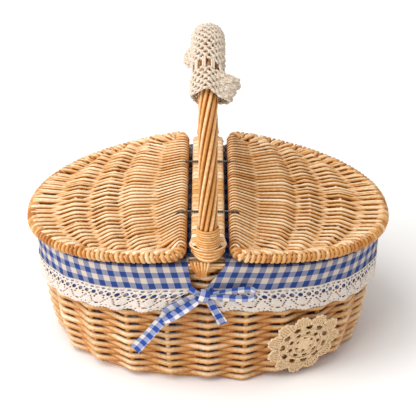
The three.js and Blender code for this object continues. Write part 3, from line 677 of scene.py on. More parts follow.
def arch_out(turn):
    """Direction out of the arch, away from its middle."""
    ahead = unit(arch(np.asarray(turn) + 1e-3) - arch(np.asarray(turn) - 1e-3))
    return np.cross(ACROSS, ahead)


def round_arch(turn, angle, distance):
    """Points round the handle's line."""
    turn, angle, distance = np.broadcast_arrays(turn, angle, distance)
    sideways = (distance * np.cos(angle))[..., None] * ACROSS
    return arch(turn) + sideways + (distance * np.sin(angle))[..., None] * arch_out(turn)


def strand_reach(turn):
    """How far a strand's middle lies from the handle's line, flaring at the foot."""
    climb = arch(turn)[..., 2] - STRAND_START
    return STRAND_RING + STRAND_FLARE * np.clip(1 - climb / COLLAR_HEIGHT, 0, 1) ** 2


def turn_at_height(height):
    """Turn of the handle's line at a height on its front leg."""
    return np.arcsin(np.clip((height - HANDLE_SPRING) / HANDLE_RISE, -1, 1))


def half_turned(path):
    """The same path turned half round the basket's middle."""
    return np.asarray(path) * (-1, -1, 1)


def wrap_tree(name, turned):
    """Nodes that repeat a wrap along a path, and the names of their inputs' sockets."""
    smallest = 0.95
    largest = 1.05
    tree = bpy.data.node_groups.new(name, "GeometryNodeTree")
    face = tree.interface
    sockets = {}
    for label, kind in (
        ("Geometry", "Geometry"), ("Wrap", "Object"), ("Count", "Int"), ("Jitter", "Float"),
        ("Lean", "Float"), ("Darkest", "Float"), ("Palest", "Float"), ("Seed", "Int"),
        ("Material", "Material"),
    ):
        socket = face.new_socket(name=label, in_out="INPUT", socket_type="NodeSocket" + kind)
        sockets[label] = socket.identifier
    face.new_socket(name="Geometry", in_out="OUTPUT", socket_type="NodeSocketGeometry")
    nodes = Nodes(tree)
    given = nodes.add("NodeGroupInput").outputs

    def drawn(least, most):
        """A number drawn for each wrap, between two limits."""
        values = {2: least, 3: most, "Seed": given["Seed"]}
        return nodes.add("FunctionNodeRandomValue", values, data_type="FLOAT").outputs[1]

    def jitter(sign):
        """The limit of the jitter on one side."""
        values = {0: (sign, sign, 0.0), "Scale": given["Jitter"]}
        return nodes.add("ShaderNodeVectorMath", values, operation="SCALE").outputs[0]

    curve = nodes.add("GeometryNodeMeshToCurve", {"Mesh": given["Geometry"]}).outputs[0]
    places = nodes.add(
        "GeometryNodeCurveToPoints", {"Curve": curve, "Count": given["Count"]}, mode="COUNT"
    ).outputs
    shape = nodes.add("GeometryNodeObjectInfo", {"Object": given["Wrap"]}).outputs["Geometry"]
    values = {"Points": places["Points"], "Instance": shape}
    if turned:
        values["Rotation"] = places["Rotation"]
        values["Scale"] = drawn(smallest, largest)
    copies = nodes.add("GeometryNodeInstanceOnPoints", values).outputs[0]
    loose = nodes.add("FunctionNodeRandomValue", {
        0: jitter(-1.0), 1: jitter(1.0), "Seed": given["Seed"],
    }, data_type="FLOAT_VECTOR").outputs[0]
    # The wraps lean one way at the start of the path and the other way at its end
    share = nodes.sum("DIVIDE", nodes.add("GeometryNodeInputIndex").outputs[0], given["Count"])
    course = nodes.sum("SUBTRACT", nodes.sum("MULTIPLY", share, 2.0), 1.0)
    slant = nodes.sum("MULTIPLY", course, given["Lean"])
    slanted = nodes.add("ShaderNodeCombineXYZ", {0: slant}).outputs[0]
    turn = nodes.add("ShaderNodeVectorMath", {0: loose, 1: slanted}, operation="ADD").outputs[0]
    values = {"Instances": copies, "Rotation": turn}
    leaned = nodes.add("GeometryNodeRotateInstances", values).outputs[0]
    toned = nodes.add("GeometryNodeStoreNamedAttribute", {
        "Geometry": leaned, "Name": "shade", "Value": drawn(given["Darkest"], given["Palest"]),
    }, data_type="FLOAT", domain="INSTANCE").outputs[0]
    real = nodes.add("GeometryNodeRealizeInstances", {0: toned}).outputs[0]
    values = {"Geometry": real, "Material": given["Material"]}
    nodes.add("NodeGroupOutput", {0: nodes.add("GeometryNodeSetMaterial", values).outputs[0]})
    return tree, sockets


def path_piece(name, path, wrap, turned, inputs):
    """Repeats a wrap along a path with geometry nodes and returns the result as a mesh."""
    tree, sockets = wrap_tree(name, turned)
    line = bpy.data.meshes.new(name + " line")
    line.from_pydata(np.asarray(path).tolist(), [(k, k + 1) for k in range(len(path) - 1)], [])
    holder = bpy.data.objects.new(name + " line", line)
    source = bpy.data.objects.new(name + " wrap", wrap)
    for item in (holder, source):
        bpy.context.scene.collection.objects.link(item)
    modifier = holder.modifiers.new("Wraps", "NODES")
    modifier.node_group = tree
    modifier[sockets["Wrap"]] = source
    for label, value in inputs.items():
        modifier[sockets[label]] = value
    seen = holder.evaluated_get(bpy.context.evaluated_depsgraph_get())
    mesh = bpy.data.meshes.new_from_object(seen)
    holder.modifiers.remove(modifier)
    for item in (holder, source):
        bpy.data.objects.remove(item)
    bpy.data.node_groups.remove(tree)
    if not mesh.polygons:
        raise RuntimeError(name + " came out empty")
    return mesh


def ring_mesh(name, radius, thickness, around, sides, longer):
    """A closed ring of round section about the local Z axis, drawn out towards -X."""
    bundle = Bundle(sides)
    turn = 2 * math.pi * np.arange(around) / around
    reach = (radius + longer) * np.cos(turn) - longer
    bundle.add(np.stack((reach, radius * np.sin(turn), 0 * turn), -1), thickness, 0.5, closed=True)
    mesh = bpy.data.meshes.new(name)
    mesh.from_pydata(np.concatenate(bundle.points).tolist(), [], bundle.faces)
    return mesh


def band_mesh(name, half_width, low, high, corner, breadth):
    """A flat cane strip bent round a bar that lies along Y, and slightly crowned."""
    crown = 0.001
    section = (
        (-0.5, -0.6), (-0.45, 0.02), (-0.2, 0.24), (0.2, 0.24), (0.45, 0.02), (0.5, -0.6), (0.0, -0.8),
    )
    line = []
    for x, z, start in (
        (half_width - corner, high - corner, 0), (corner - half_width, high - corner, 1),
        (corner - half_width, low + corner, 2), (half_width - corner, low + corner, 3),
    ):
        for part in (0, 0.5, 1):
            angle = (start + part) * math.pi / 2
            line.append((x, z, math.cos(angle), math.sin(angle)))
    points = []
    for x, z, ox, oz in line:
        for share, lift in section:
            out = corner + lift * crown
            points.append((x + ox * out, share * breadth, z + oz * out))
    grid = np.arange(len(points)).reshape(len(line), len(section))
    after = np.roll(grid, -1, 0)
    faces = np.stack((grid, after, np.roll(after, -1, 1), np.roll(grid, -1, 1)), -1).reshape(-1, 4)
    mesh = bpy.data.meshes.new(name)
    mesh.from_pydata(points, [], faces.tolist())
    return mesh


def bar_mesh(name, half_width, low, high, half_length):
    """A plain bar along Y."""
    corners = [(-half_width, low), (half_width, low), (half_width, high), (-half_width, high)]
    points = [(x, y, z) for y in (-half_length, half_length) for x, z in corners]
    faces = [(0, 1, 5, 4), (1, 2, 6, 5), (2, 3, 7, 6), (3, 0, 4, 7), (0, 3, 2, 1), (4, 5, 6, 7)]
    mesh = bpy.data.meshes.new(name)
    mesh.from_pydata(points, [], faces)
    return mesh


class BASKET_OT_materials(Operator):
    """Makes the basket's materials"""

    bl_idname = "basket.materials"
    bl_label = "Basket materials"

    def execute(self, context):
        weave = context.scene.basket_weave
        cloth = context.scene.basket_cloth
        crochet = context.scene.basket_crochet
        cane_paler = 1.1
        painted_lid_shadow = (0.79, 0.725, 0.65)
        tones = [tuple(tone) for tone in (weave.dark, weave.middle, weave.pale)]
        willow_material("Willow", tones, 0.27)
        paler = [tuple(min(1.0, part * cane_paler) for part in tone) for tone in tones]
        willow_material("Cane", paler, 0.26)
        checks = [tuple(tone) for tone in (cloth.white, cloth.half_blue, cloth.blue)]
        gingham_material("Gingham", cloth.check, *checks)
        # The cuffs' checks are darkened: painted shadow of the lids that overhang them
        shadowed_checks = [tuple(part * rate for part, rate in zip(tone, painted_lid_shadow)) for tone in checks]
        gingham_material("Cuff gingham in painted shadow", cloth.check, *shadowed_checks)
        for name, tone, grain, depth in (
            ("Lace", cloth.lace, 900.0, 0.0003), ("Cream yarn", crochet.cream, 700.0, 0.0005),
            ("Ecru yarn", crochet.ecru, 700.0, 0.0005),
        ):
            yarn_material(name, tuple(tone), grain, depth)
        wire_material("Hinge wire")
        return {"FINISHED"}


def stake_arc(place):
    """Distance round the rim of a place counted in stakes."""
    turns = np.floor(place / STAKE_COUNT)
    within = np.interp(place - turns * STAKE_COUNT, np.arange(STAKE_COUNT + 1), STAKE_ARCS)
    return within + turns * ARC_TOTAL


def shade_drawn(chance, middle, spread, least, most):
    """A rod's shade, drawn at random within limits."""
    return float(np.clip(chance.normal(middle, spread), least, most))


def between_stakes(stake, share, height, offset):
    """Points on the straight line from one stake to the next, moved out by the offset."""
    here = angle_at_arc(stake_arc(stake))
    there = angle_at_arc(stake_arc(stake + 1))
    share = share[:, None]
    line = wall(here, height, 0.0) * (1 - share) + wall(there, height, 0.0) * share
    out = unit(outward(here) * (1 - share) + outward(there) * share)
    return line + offset[:, None] * out


class BASKET_OT_wall(Operator):
    """Weaves the wall, its stakes, the base and the rim"""

    bl_idname = "basket.wall"
    bl_label = "Basket wall"

    def execute(self, context):
        settings = context.scene.basket_weave
        chance = np.random.default_rng(5)
        self.weave(settings, chance)
        self.stakes(settings, chance)
        self.base(chance)
        self.rim()
        return {"FINISHED"}

    def weave(self, settings, chance):
        """Rods that climb the wall, behind one stake and in front of the next."""
        level_stakes = 8
        foot_swing = 0.4
        foot_fade = 0.010
        rounding = 0.10
        fewest_points = 6
        steps = np.array((0, 0.035, 0.07, 0.11, 0.3, 0.5, 0.7, 0.89, 0.93, 0.965))
        reach = settings.stake_radius * 0.6 + settings.rod_radius * 0.98
        rounds = int((RIM_HEIGHT - WALL_TOP_GAP - WALL_FIRST_ROW) / settings.row_pitch) + 1
        rods = Bundle(8)
        start = 0
        while start < rounds * STAKE_COUNT:
            # A rod begins and ends behind a stake
            length = 2 * int(chance.integers(4, 9))
            gaps = np.arange(start, start + length)
            place = np.append((gaps[:, None] + steps).ravel(), start + length)
            whole = np.floor(place)
            sign = np.where(whole % 2 == 0, -1, 1)
            angle = angle_at_arc(stake_arc(place))
            stray = WALL_STRAY * float(np.clip(chance.normal(), -2, 2))
            # The first rods lie level on the foot
            risen = WALL_FIRST_ROW + settings.row_pitch * place / STAKE_COUNT
            height = risen + stray * smooth((place - level_stakes) / level_stakes)
            swing = reach * (1 + foot_swing * np.exp(-height / foot_fade))
            offset = swing * sign * bend(place - whole, rounding)
            inside = height < rim_top(angle) - WALL_TOP_GAP
            # Painted shade on the runs that go behind the stakes, paler runs in front, on top of a
            # random tone
            shade = np.clip(chance.normal(0.26, 0.07) + 0.28 * offset / reach, -0.1, 0.92)
            radius = settings.rod_radius * (1 + 0.05 * chance.normal())
            path = between_stakes(whole, place - whole, height, offset)
            edges = np.flatnonzero(np.diff(np.concatenate(([False], inside, [False])).astype(int)))
            for begin, end in zip(edges[::2], edges[1::2]):
                if end - begin > fewest_points:
                    thick = radius * np.linspace(1.04, 0.94, end - begin)
                    rods.add(path[begin:end], thick, shade[begin:end], lit=WALL_PAINTED_LIGHT * UP)
            start += length
        rods.piece("wall_weave", "Willow", "basket", ["side_weaver"], "pale_willow")

    def stakes(self, settings, chance):
        """Upright stakes, left out where the handle's legs go, and the two hoops at the foot."""
        below_rim = 0.001
        proud = 0.0010
        proud_from = 0.02
        hoop_radius = 0.0025
        hoops = ((0.0026, -0.0040), (0.0072, -0.0050))
        rods = Bundle(8)
        for k in range(STAKE_COUNT):
            if k in (0, STAKE_GAPS_RIGHT):
                continue
            angle = angle_at_arc(np.array(STAKE_ARCS[k]))
            height = np.linspace(FOOT_HEIGHT, float(rim_top(angle)) - below_rim, 16)
            shade = shade_drawn(chance, 0.45, 0.12, 0.05, 0.9)
            out = proud * smooth((height - FOOT_HEIGHT) / proud_from)
            rods.add(wall(angle, height, out), settings.stake_radius, shade, up=outward(angle))
        angle = angle_at_arc(np.arange(900) / 900 * ARC_TOTAL)
        for height, offset in hoops:
            rods.add(wall(angle, height, offset), hoop_radius, 0.3, closed=True)
        rods.piece("stakes", "Willow", "basket", ["stake_frame"], "willow")

    def base(self, chance):
        """Spokes of the base and the rings woven through them."""
        middle = 0.0038
        inset = -0.0055
        radius = 0.0019
        swing = 0.0016
        rings = 19
        first_ring = 0.12
        ring_span = 0.85
        steps = np.array((0, 0.15, 0.35, 0.5, 0.65, 0.85))
        rods = Bundle(6)
        edge = wall(angle_at_arc(STAKE_ARCS[:-1]), FOOT_HEIGHT, inset)
        for k in range(STAKE_COUNT):
            share = np.linspace(0.07, 1, 9)[:, None]
            path = edge[k] * share * (1, 1, 0) + middle * UP
            rods.add(path, radius, shade_drawn(chance, 0.4, 0.12, 0.1, 0.8))
        place = (np.arange(STAKE_COUNT)[:, None] + steps).ravel()
        line = wall(angle_at_arc(stake_arc(place)), FOOT_HEIGHT, inset)
        for ring in range(rings):
            share = first_ring + ring_span * ring / (rings - 1)
            lift = swing * np.cos(math.pi * (place + ring) * (STAKE_COUNT + 1) / STAKE_COUNT)
            path = line * share * (1, 1, 0) + (middle + lift)[:, None] * UP
            rods.add(path, radius, shade_drawn(chance, 0.5, 0.15, 0.1, 0.9), closed=True)
        rods.piece("base_weave", "Willow", "basket", ["base_panel"], "willow")

    def rim(self):
        """Two rods on each face of the rim."""
        radius = 0.0019
        pitch = 0.0030
        reach = 0.0062
        step_in = 0.0006
        angle = angle_at_arc(np.arange(360) / 360 * ARC_TOTAL)
        for name, side in (("rim_outer", 1), ("rim_inner", -1)):
            rods = Bundle(10)
            for row in range(2):
                height = rim_top(angle) - radius - pitch * row
                line = wall(angle, height, side * (reach - step_in * row))
                rods.add(line, radius, 0.35 + 0.2 * row, closed=True)
            rods.piece(name, "Willow", "basket", [name + "_hoop"], "willow")


class BASKET_OT_handle(Operator):
    """Makes the twisted handle, its windings and the wrapped bar"""

    bl_idname = "basket.handle"
    bl_label = "Basket handle"

    def execute(self, context):
        settings = context.scene.basket_handle
        chance = np.random.default_rng(8)
        self.strands(settings)
        self.core()
        for name, back in (("front", False), ("back", True)):
            self.collar(settings, name, back)
            self.lashing(chance, name, back)
            self.binding(chance, name, back)
        self.bar(settings)
        return {"FINISHED"}

    def strands(self, settings):
        """Rods twisted round the handle's core."""
        below_start = 0.004
        rods = Bundle(10)
        first = float(turn_at_height(STRAND_START - below_start))
        turn = np.linspace(first, math.pi - first, 120)
        for k in range(settings.strands):
            angle = 2 * math.pi * (k / settings.strands - STRAND_TURNS * turn / math.pi)
            wobble = 1 + 0.03 * np.sin(7 * turn + 2.1 * k)
            path = round_arch(turn, angle, strand_reach(turn))
            # Dark strands with painted light on their outer sides, so the grooves between them carry
            # painted shade
            shade = -0.42 + 0.16 * math.sin(2.4 * k + 0.6)
            out = STRAND_PAINTED_LIGHT * unit(path - arch(turn))
            rods.add(path, settings.strand_radius * wobble, shade, up=ACROSS, lit=out)
        names = [f"handle_strand_{k + 1}" for k in range(STRAND_NODES)]
        rods.piece("handle_strands", "Willow", "basket", names, "pale_willow")

    def core(self):
        """The rod inside the strands, which runs down the wall to the foot at both ends."""
        above_foot = 0.0045
        below_rim = 0.004
        thin_below = 0.003
        leg_radius = 0.0026
        arch_radius = 0.0040
        rods = Bundle(10)
        leg = np.linspace(FOOT_HEIGHT + above_foot, RIM_HEIGHT - below_rim, 14)
        front = wall(np.array(FRONT), leg, 0.0)
        back = wall(np.array(BACK), leg, 0.0)[::-1]
        path = np.vstack((front, arch(np.linspace(0, math.pi, 60)), back))
        thick = np.where(path[:, 2] < RIM_HEIGHT - thin_below, leg_radius, arch_radius)
        # The core takes the darkest tone, which shows as painted shade in the grooves between the
        # strands
        rods.add(path, thick, 0.05, up=ACROSS)
        rods.piece("handle_core_rod", "Willow", "basket", ["handle_core"], "willow")

    def collar(self, settings, name, back):
        """Fine cane wound round the foot of the strands."""
        per_turn = 28
        pitch = 2.08 * settings.cane_radius
        rods = Bundle(8)
        place = np.arange(settings.collar_turns * per_turn + 1) / per_turn
        height = STRAND_START + settings.cane_radius + pitch * place
        turn = turn_at_height(height)
        reach = strand_reach(turn) + settings.strand_radius * 0.92 + settings.cane_radius * 0.6
        centre = arch(turn)
        angle = 2 * math.pi * place
        path = np.stack((reach * np.cos(angle), centre[:, 1] + reach * np.sin(angle), height), -1)
        # Painted light on the outer side of each turn of cane, painted shade between the turns
        shade = 0.19 + 0.08 * np.sin(place * 2.3)
        out = COLLAR_PAINTED_LIGHT * unit((path - centre) * (1, 1, 0))
        if back:
            path = half_turned(path)
            out = half_turned(out)
        rods.add(path, settings.cane_radius, shade, lit=out)
        rods.piece("collar_" + name, "Cane", "basket", ["handle_collar_" + name], "cane")

    def lashing(self, chance, name, back):
        """Cane bent round the bar's end and tucked in beside it; narrower and lower at the back."""
        rows = 4
        pitch = 0.0033
        first_above = 0.0012
        proud = 0.0106
        bulge = 0.0007
        step_in = 0.0006
        bend_start = 0.004
        tuck_in = 0.0018
        tuck_length = 0.014
        thinnest = 0.00105
        thicker = 0.00065
        half = BAR_HALF_WIDTH - 0.0050 if back else BAR_HALF_WIDTH + 0.0008
        lower = 0.0030 if back else 0.0
        tip = BAR_TOP - 0.0016
        angle = np.linspace(0, math.pi, 29)
        arc = np.sin(angle)
        rods = Bundle(8)
        for row in range(rows):
            middle = BAR_TOP + first_above - lower - pitch * row
            reach = RIM_HALF_DEPTH + proud + bulge * row - BAR_HALF_LENGTH
            bow = np.stack((
                (half - step_in * row) * np.cos(angle),
                -BAR_HALF_LENGTH + bend_start - (reach + bend_start) * arc,
                tip + (middle - tip) * arc ** 0.8,
            ), -1)
            tucked = np.array(((half - tuck_in, -BAR_HALF_LENGTH + tuck_length, tip),))
            path = np.vstack((tucked, bow, tucked * (-1, 1, 1)))
            shade = 0.26 + 0.08 * float(chance.normal())
            thick = thinnest + thicker * np.concatenate(([0.0], arc, [0.0]))
            rods.add(half_turned(path) if back else path, thick, shade)
        rods.piece("lashing_" + name, "Cane", "basket", ["handle_lashing_" + name], "cane")

    def binding(self, chance, name, back):
        """Cane strips gathered downwards over the rim under the handle."""
        strips = 6
        top_first = -0.0165
        top_pitch = 0.0034
        low_first = -0.0108
        low_pitch = 0.0017
        above_rim = -0.0035
        length = 0.0185
        shorter = 0.0007
        share = np.linspace(0, 1, 12)
        bulge = 0.0088 + 0.0014 * np.sin(math.pi * np.clip(share * 1.1, 0, 1))
        thick = 0.0017 - 0.0005 * share
        rods = Bundle(8)
        for k in range(strips):
            top = top_first + top_pitch * k
            low = low_first + low_pitch * k
            x = top + (low - top) * smooth(share)
            drop = above_rim + (length - shorter * abs(k - (strips - 1) / 2)) * share
            path = wall(angle_at_x(x, -1), RIM_HEIGHT - drop, bulge)
            path[:, 2] = RIM_HEIGHT - drop
            shade = 0.36 + 0.13 * float(chance.normal())
            rods.add(half_turned(path) if back else path, thick, shade, up=np.array((0.0, -1.0, 0.0)))
        rods.piece("binding_" + name, "Cane", "basket", ["rim_binding_" + name], "cane")

    def bar(self, settings):
        """The bar between the lids and the flat cane strips wound round it."""
        end_gap = 0.002
        corner = 0.003

        def inset(depth):
            """Half width, bottom and top of the bar, moved in by a depth."""
            return BAR_HALF_WIDTH - depth, BAR_BOTTOM + depth, BAR_TOP - depth

        # The core has no shade of its own and so takes the darkest tone: painted shade in the gaps
        # between the cane strips
        core = bar_mesh("bar_core", *inset(0.0012), BAR_HALF_LENGTH)
        piece = show("bar_core", core, "Willow", "basket", ["centre_bar"])
        piece.data.polygons.foreach_set("use_smooth", np.zeros(len(piece.data.polygons), bool))
        end = BAR_HALF_LENGTH - end_gap
        breadth = 0.9 * 2 * end / (settings.bar_strips - 1)
        strip = band_mesh("cane strip", *inset(0.0003), corner, breadth)
        mesh = path_piece("Bar wraps", [(0.0, -end, 0.0), (0.0, end, 0.0)], strip, False, {
            "Count": settings.bar_strips, "Jitter": 0.0, "Lean": 0.0, "Darkest": 0.5, "Palest": 0.95,
            "Seed": 4, "Material": stocked("Cane"),
        })
        show("bar_wraps", mesh, None, "basket", ["bar_wrap"])


def lid_edge(angle):
    """The lid's hoop, measured out from the hinge line."""
    x, y = oval(angle, LID_HOOP_LENGTH, LID_HOOP_DEPTH, LID_OVAL_POWER)[:2]
    return x - HINGE_X, y


def lid_depth(x):
    """Half depth of the hoop at a distance from the hinge line."""
    share = 1 - ((x + HINGE_X) / LID_HOOP_LENGTH) ** LID_OVAL_POWER
    return LID_HOOP_DEPTH * share ** (1 / LID_OVAL_POWER)


def lid_placed(local, left):
    """Points of a lid drawn flat, set at its slope on its own side."""
    local = np.asarray(local, float)
    x = HINGE_X + local[:, 0] * math.cos(LID_SLOPE) + local[:, 2] * math.sin(LID_SLOPE)
    z = HINGE_Z - local[:, 0] * math.sin(LID_SLOPE) + local[:, 2] * math.cos(LID_SLOPE)
    placed = np.stack((x, local[:, 1], z), -1)
    return half_turned(placed) if left else placed


def lid_hoop():
    """The hoop's line, from one hinge corner round to the other."""
    deep = lid_depth(LID_CORNER)
    first = math.acos(((LID_CORNER + HINGE_X) / LID_HOOP_LENGTH) ** (LID_OVAL_POWER / 2))
    quarter = np.linspace(0, math.pi / 2, 9)[:-1]
    corner = np.stack((
        LID_CORNER * (1 - np.cos(quarter)), -(deep - LID_CORNER * (1 - np.sin(quarter))), 0 * quarter,
    ), -1)
    x, y = lid_edge(np.linspace(-first, first, 121))
    body = np.stack((x, y, 0 * x), -1)
    return np.vstack((corner, body, corner[::-1] * (1, -1, 1)))


class BASKET_OT_lids(Operator):
    """Weaves both lids and hangs them on their wires"""

    bl_idname = "basket.lids"
    bl_label = "Basket lids"

    def execute(self, context):
        settings = context.scene.basket_lids
        for name, left in (("right", False), ("left", True)):
            chance = np.random.default_rng(settings.seed + left)
            self.frame(name, left)
            self.weave(settings, chance, name, left)
            self.edge(settings, name, left)
        self.wires()
        return {"FINISHED"}

    def ribs(self):
        """Each rib's distance from the hinge at its middle and its ends, and half its depth."""
        inside_hoop = 0.006
        made = []
        for middle, end in zip(LID_RIB_MIDDLES, LID_RIB_ENDS):
            reach = lid_depth(end - HINGE_X) - inside_hoop
            made.append((middle - HINGE_X, end - HINGE_X, reach))
        return made

    def frame(self, name, left):
        """The hinge rod, the bowed ribs and the hoop."""
        rib_radius = 0.0023
        hoop_radius = 0.0027
        rods = Bundle(8)
        half = lid_depth(LID_CORNER) - LID_CORNER
        line = [(0, y, 0) for y in np.linspace(-half, half, 9)]
        rods.add(lid_placed(line, left), LID_ROD_RADIUS, 0.3)
        nodes = [f"lid_{name}_hinge_rod"]
        for k, (middle, end, reach) in enumerate(self.ribs()):
            y = np.linspace(-reach, reach, 25)
            x = middle + (end - middle) * (y / reach) ** 2
            # The rib nearest the hinge lies under the weave
            level = LID_FIRST_RIB_LEVEL if k == 0 else 0.0
            line = np.stack((x, y, 0 * y + level), -1)
            rods.add(lid_placed(line, left), rib_radius, 0.3 + 0.07 * k)
            nodes.append(f"lid_{name}_rib_{k + 1}")
        rods.add(lid_placed(lid_hoop(), left), hoop_radius, 0.35)
        rods.piece(f"lid_{name}_frame", "Willow", f"lid_{name}", nodes, "willow")

    def weave(self, settings, chance, name, left):
        """Rods fanned from the hinge to the hoop, slim at the hinge and doubled where they spread."""
        single_share = 0.60
        slim_until = 0.30
        double_share = 0.36
        rods = Bundle(8)
        # No rod runs along the hinge, so it serves as the direction up of each
        up = np.array((0.0, -1.0 if left else 1.0, 0.0))
        middle = (settings.weavers - 1) / 2
        for j in range(settings.weavers):
            over = 1 if j % 2 else -1
            joins = 0.42 + 0.18 * chance.random()
            for place in (j - middle, j - middle + 0.5):
                shift = float(np.clip(chance.normal(0, LID_STRAY), -2 * LID_STRAY, 2 * LID_STRAY))
                points, share, spread = self.weaver(settings, place, middle, over, shift)
                pitch = settings.weaver_pitch + spread * share
                slim = single_share - LID_SLIM * (1 - smooth(share / slim_until))
                single = np.minimum(slim * pitch, settings.weaver_radius)
                double = double_share * pitch
                thick = single + (double - single) * smooth((share - joins + 0.08) / 0.1)
                thick = thick * (1 + 0.07 * float(np.clip(chance.normal(), -2, 2)))
                # Painted shade on the lower runs of a rod, painted light on its upper runs
                level = np.clip(points[:, 2] / LID_RIB_LIFT, -2, 1)
                shade = np.clip(chance.normal(0.06, 0.10) + 0.14 * level, -0.3, 0.95)
                line = lid_placed(points, left)
                if place == j - middle:
                    rods.add(line, thick, shade, up=up)
                elif j < settings.weavers - 1:
                    # A second rod is laid beside the first where the weave spreads
                    late = share > joins
                    taper = 0.45 + 0.55 * smooth((share[late] - joins) / 0.08)
                    rods.add(line[late], thick[late] * taper, shade[late], up=up)
        rods.piece(f"lid_{name}_weave", "Willow", f"lid_{name}", [f"lid_{name}_weaver"], "pale_willow")

    def weaver(self, settings, place, middle, over, shift):
        """Points of a rod from hinge to hoop, their shares of its length and the rods' spread."""
        last_gap = 0.012
        hoop_gap = 0.0060
        rounding_length = 0.0040
        steps = (0, 0.06, 0.12, 0.2, 0.35, 0.5, 0.65, 0.8, 0.88, 0.94)
        rod_lift = LID_ROD_RADIUS + settings.weaver_radius
        # The rod above and the rod below it are two runs of one rod, turned round the hinge rod
        pair = 2 * math.floor((place + middle) / 2) + 0.5 - middle
        start = np.array((0.0, pair * settings.weaver_pitch))
        end = np.array(lid_edge(settings.fan * np.clip((place + shift) / middle, -1, 1)))
        beside = np.array(lid_edge(settings.fan * (place - math.copysign(1, place)) / middle))
        spread = max(0.0, np.linalg.norm(end - beside) - settings.weaver_pitch)
        span = np.linalg.norm(end - start)
        stops = [(0.0, rod_lift)]
        fine = np.linspace(0, 1, 200)
        line = start + (end - start) * fine[:, None]
        for middle_x, end_x, reach in self.ribs()[1:]:
            beyond = line[:, 0] - (middle_x + (end_x - middle_x) * (line[:, 1] / reach) ** 2)
            met = np.flatnonzero((beyond[:-1] < 0) & (beyond[1:] >= 0))
            if len(met) and abs(line[met[0], 1]) < reach and fine[met[0]] * span < span - last_gap:
                stops.append((fine[met[0]], LID_RIB_LIFT))
        stops.append((1 - hoop_gap / span, LID_RIB_LIFT))
        points = []
        shares = []
        if over > 0:
            for turn in np.linspace(0, math.pi, 9)[:-1]:
                points.append((-rod_lift * math.sin(turn), start[1], -rod_lift * math.cos(turn)))
                shares.append(0.0)
        side = over
        for (here, low), (there, high) in zip(stops[:-1], stops[1:]):
            rounding = min(0.3, rounding_length / ((there - here) * span))
            for part in steps:
                level = float(bend(np.array(part), rounding))
                share = here + (there - here) * part
                spot = start + (end - start) * share
                points.append((spot[0], spot[1], side * (low * max(level, 0) + high * min(level, 0))))
                shares.append(share)
            side = -side
        spot = start + (end - start) * stops[-1][0]
        points.append((spot[0], spot[1], side * LID_RIB_LIFT))
        shares.append(stops[-1][0])
        # A rod ends on the hoop or under it, within the turns that bind it
        ahead = unit(end - start)
        for beyond, level in ((-0.0030, 0.0040), (0.0, 0.0036)):
            points.append((end[0] + beyond * ahead[0], end[1] + beyond * ahead[1], side * level))
            shares.append(1.0)
        return np.array(points), np.array(shares), spread

    def edge(self, settings, name, left):
        """Turns bound round the hoop."""
        wrap = ring_mesh("rim wrap", 0.0038, 0.0021, 14, 8, 0.0012)
        mesh = path_piece("Rim wraps", lid_placed(lid_hoop(), left), wrap, True, {
            "Count": settings.rim_wraps, "Jitter": 0.06, "Lean": 0.35, "Darkest": 0.1, "Palest": 0.68,
            "Seed": settings.seed + 3 * left, "Material": stocked("Willow"),
        })
        show(f"lid_{name}_edge", mesh, None, f"lid_{name}", [f"lid_{name}_hoop"])

    def wires(self):
        """Two twisted wires that cross the bar and loop round both hinge rods."""
        reach = LID_ROD_RADIUS + 0.0034
        above_bar = 0.0018
        below_bar = 0.0012
        beside_bar = 0.0006
        twists = 34
        per_twist = 10
        strand_gap = 0.00065
        strand_radius = 0.00072
        for name, y in (("front", -HINGE_WIRE_Y), ("back", HINGE_WIRE_Y)):
            points = []
            for side in (1, -1):
                for turn in np.linspace(-0.5, 0.5, 9) * math.pi:
                    x = side * (HINGE_X + reach * math.cos(turn))
                    points.append((x, y, HINGE_Z + side * reach * math.sin(turn)))
                level = BAR_TOP + above_bar if side > 0 else BAR_BOTTOM - below_bar
                for share in np.linspace(1, -1, 9):
                    points.append((side * share * (BAR_HALF_WIDTH + beside_bar), y, level))
            line = np.array(points + points[:1])
            gone = distances(line)
            place = np.arange(twists * per_twist) / (twists * per_twist)
            line = np.stack([np.interp(place * gone[-1], gone, line[:, k]) for k in range(3)], -1)
            ahead = unit(np.roll(line, -1, 0) - np.roll(line, 1, 0))
            inward = np.cross(ahead, DEEP)
            rods = Bundle(6)
            for start in (0, math.pi):
                turn = start + 2 * math.pi * twists * place
                strand = line + strand_gap * np.sin(turn)[:, None] * inward
                strand[:, 1] += strand_gap * np.cos(turn)
                rods.add(strand, strand_radius, 0.5, up=DEEP, closed=True)
            nodes = ["hinge_wire_" + name]
            rods.piece("hinge_wire_loop_" + name, "Hinge wire", "basket", nodes, "wire")


def gap_edge(side, end, drop):
    """Angle of the edge of the gap in the cuff at the handle."""
    slanting = side * end < 0
    top, hem, flare = (0.017, -0.003, 0.018) if slanting else (0.020, 0.016, 0.026)
    down = top + (hem - top) * np.minimum(drop / CUFF_DROP, 1)
    opening = flare * np.maximum(drop - CUFF_DROP, 0) / LACE_DROP
    return angle_at_x(side * (down + opening), end)


def cuff_angle(side, share, drop):
    """Angle on one cuff at a share of its length and a drop below the rim."""
    front = gap_edge(side, -1, drop)
    back = gap_edge(side, 1, drop)
    begin = front if side > 0 else back
    finish = back if side > 0 else front + 2 * math.pi
    return begin + (finish - begin) * share


def front_point(x, drop, offset):
    """A point of the front wall, found by its X and its drop below the rim."""
    angle = angle_at_x(np.asarray(x, float), -1)
    height = rim_top(angle) - np.asarray(drop, float)
    return wall(angle, height, np.asarray(offset, float))


def ripples(arc):
    """Gentle waves along the hanging cloth."""
    return np.sin(arc * 2 * math.pi / 0.047) + 0.6 * np.sin(arc * 2 * math.pi / 0.029 + 1.3)


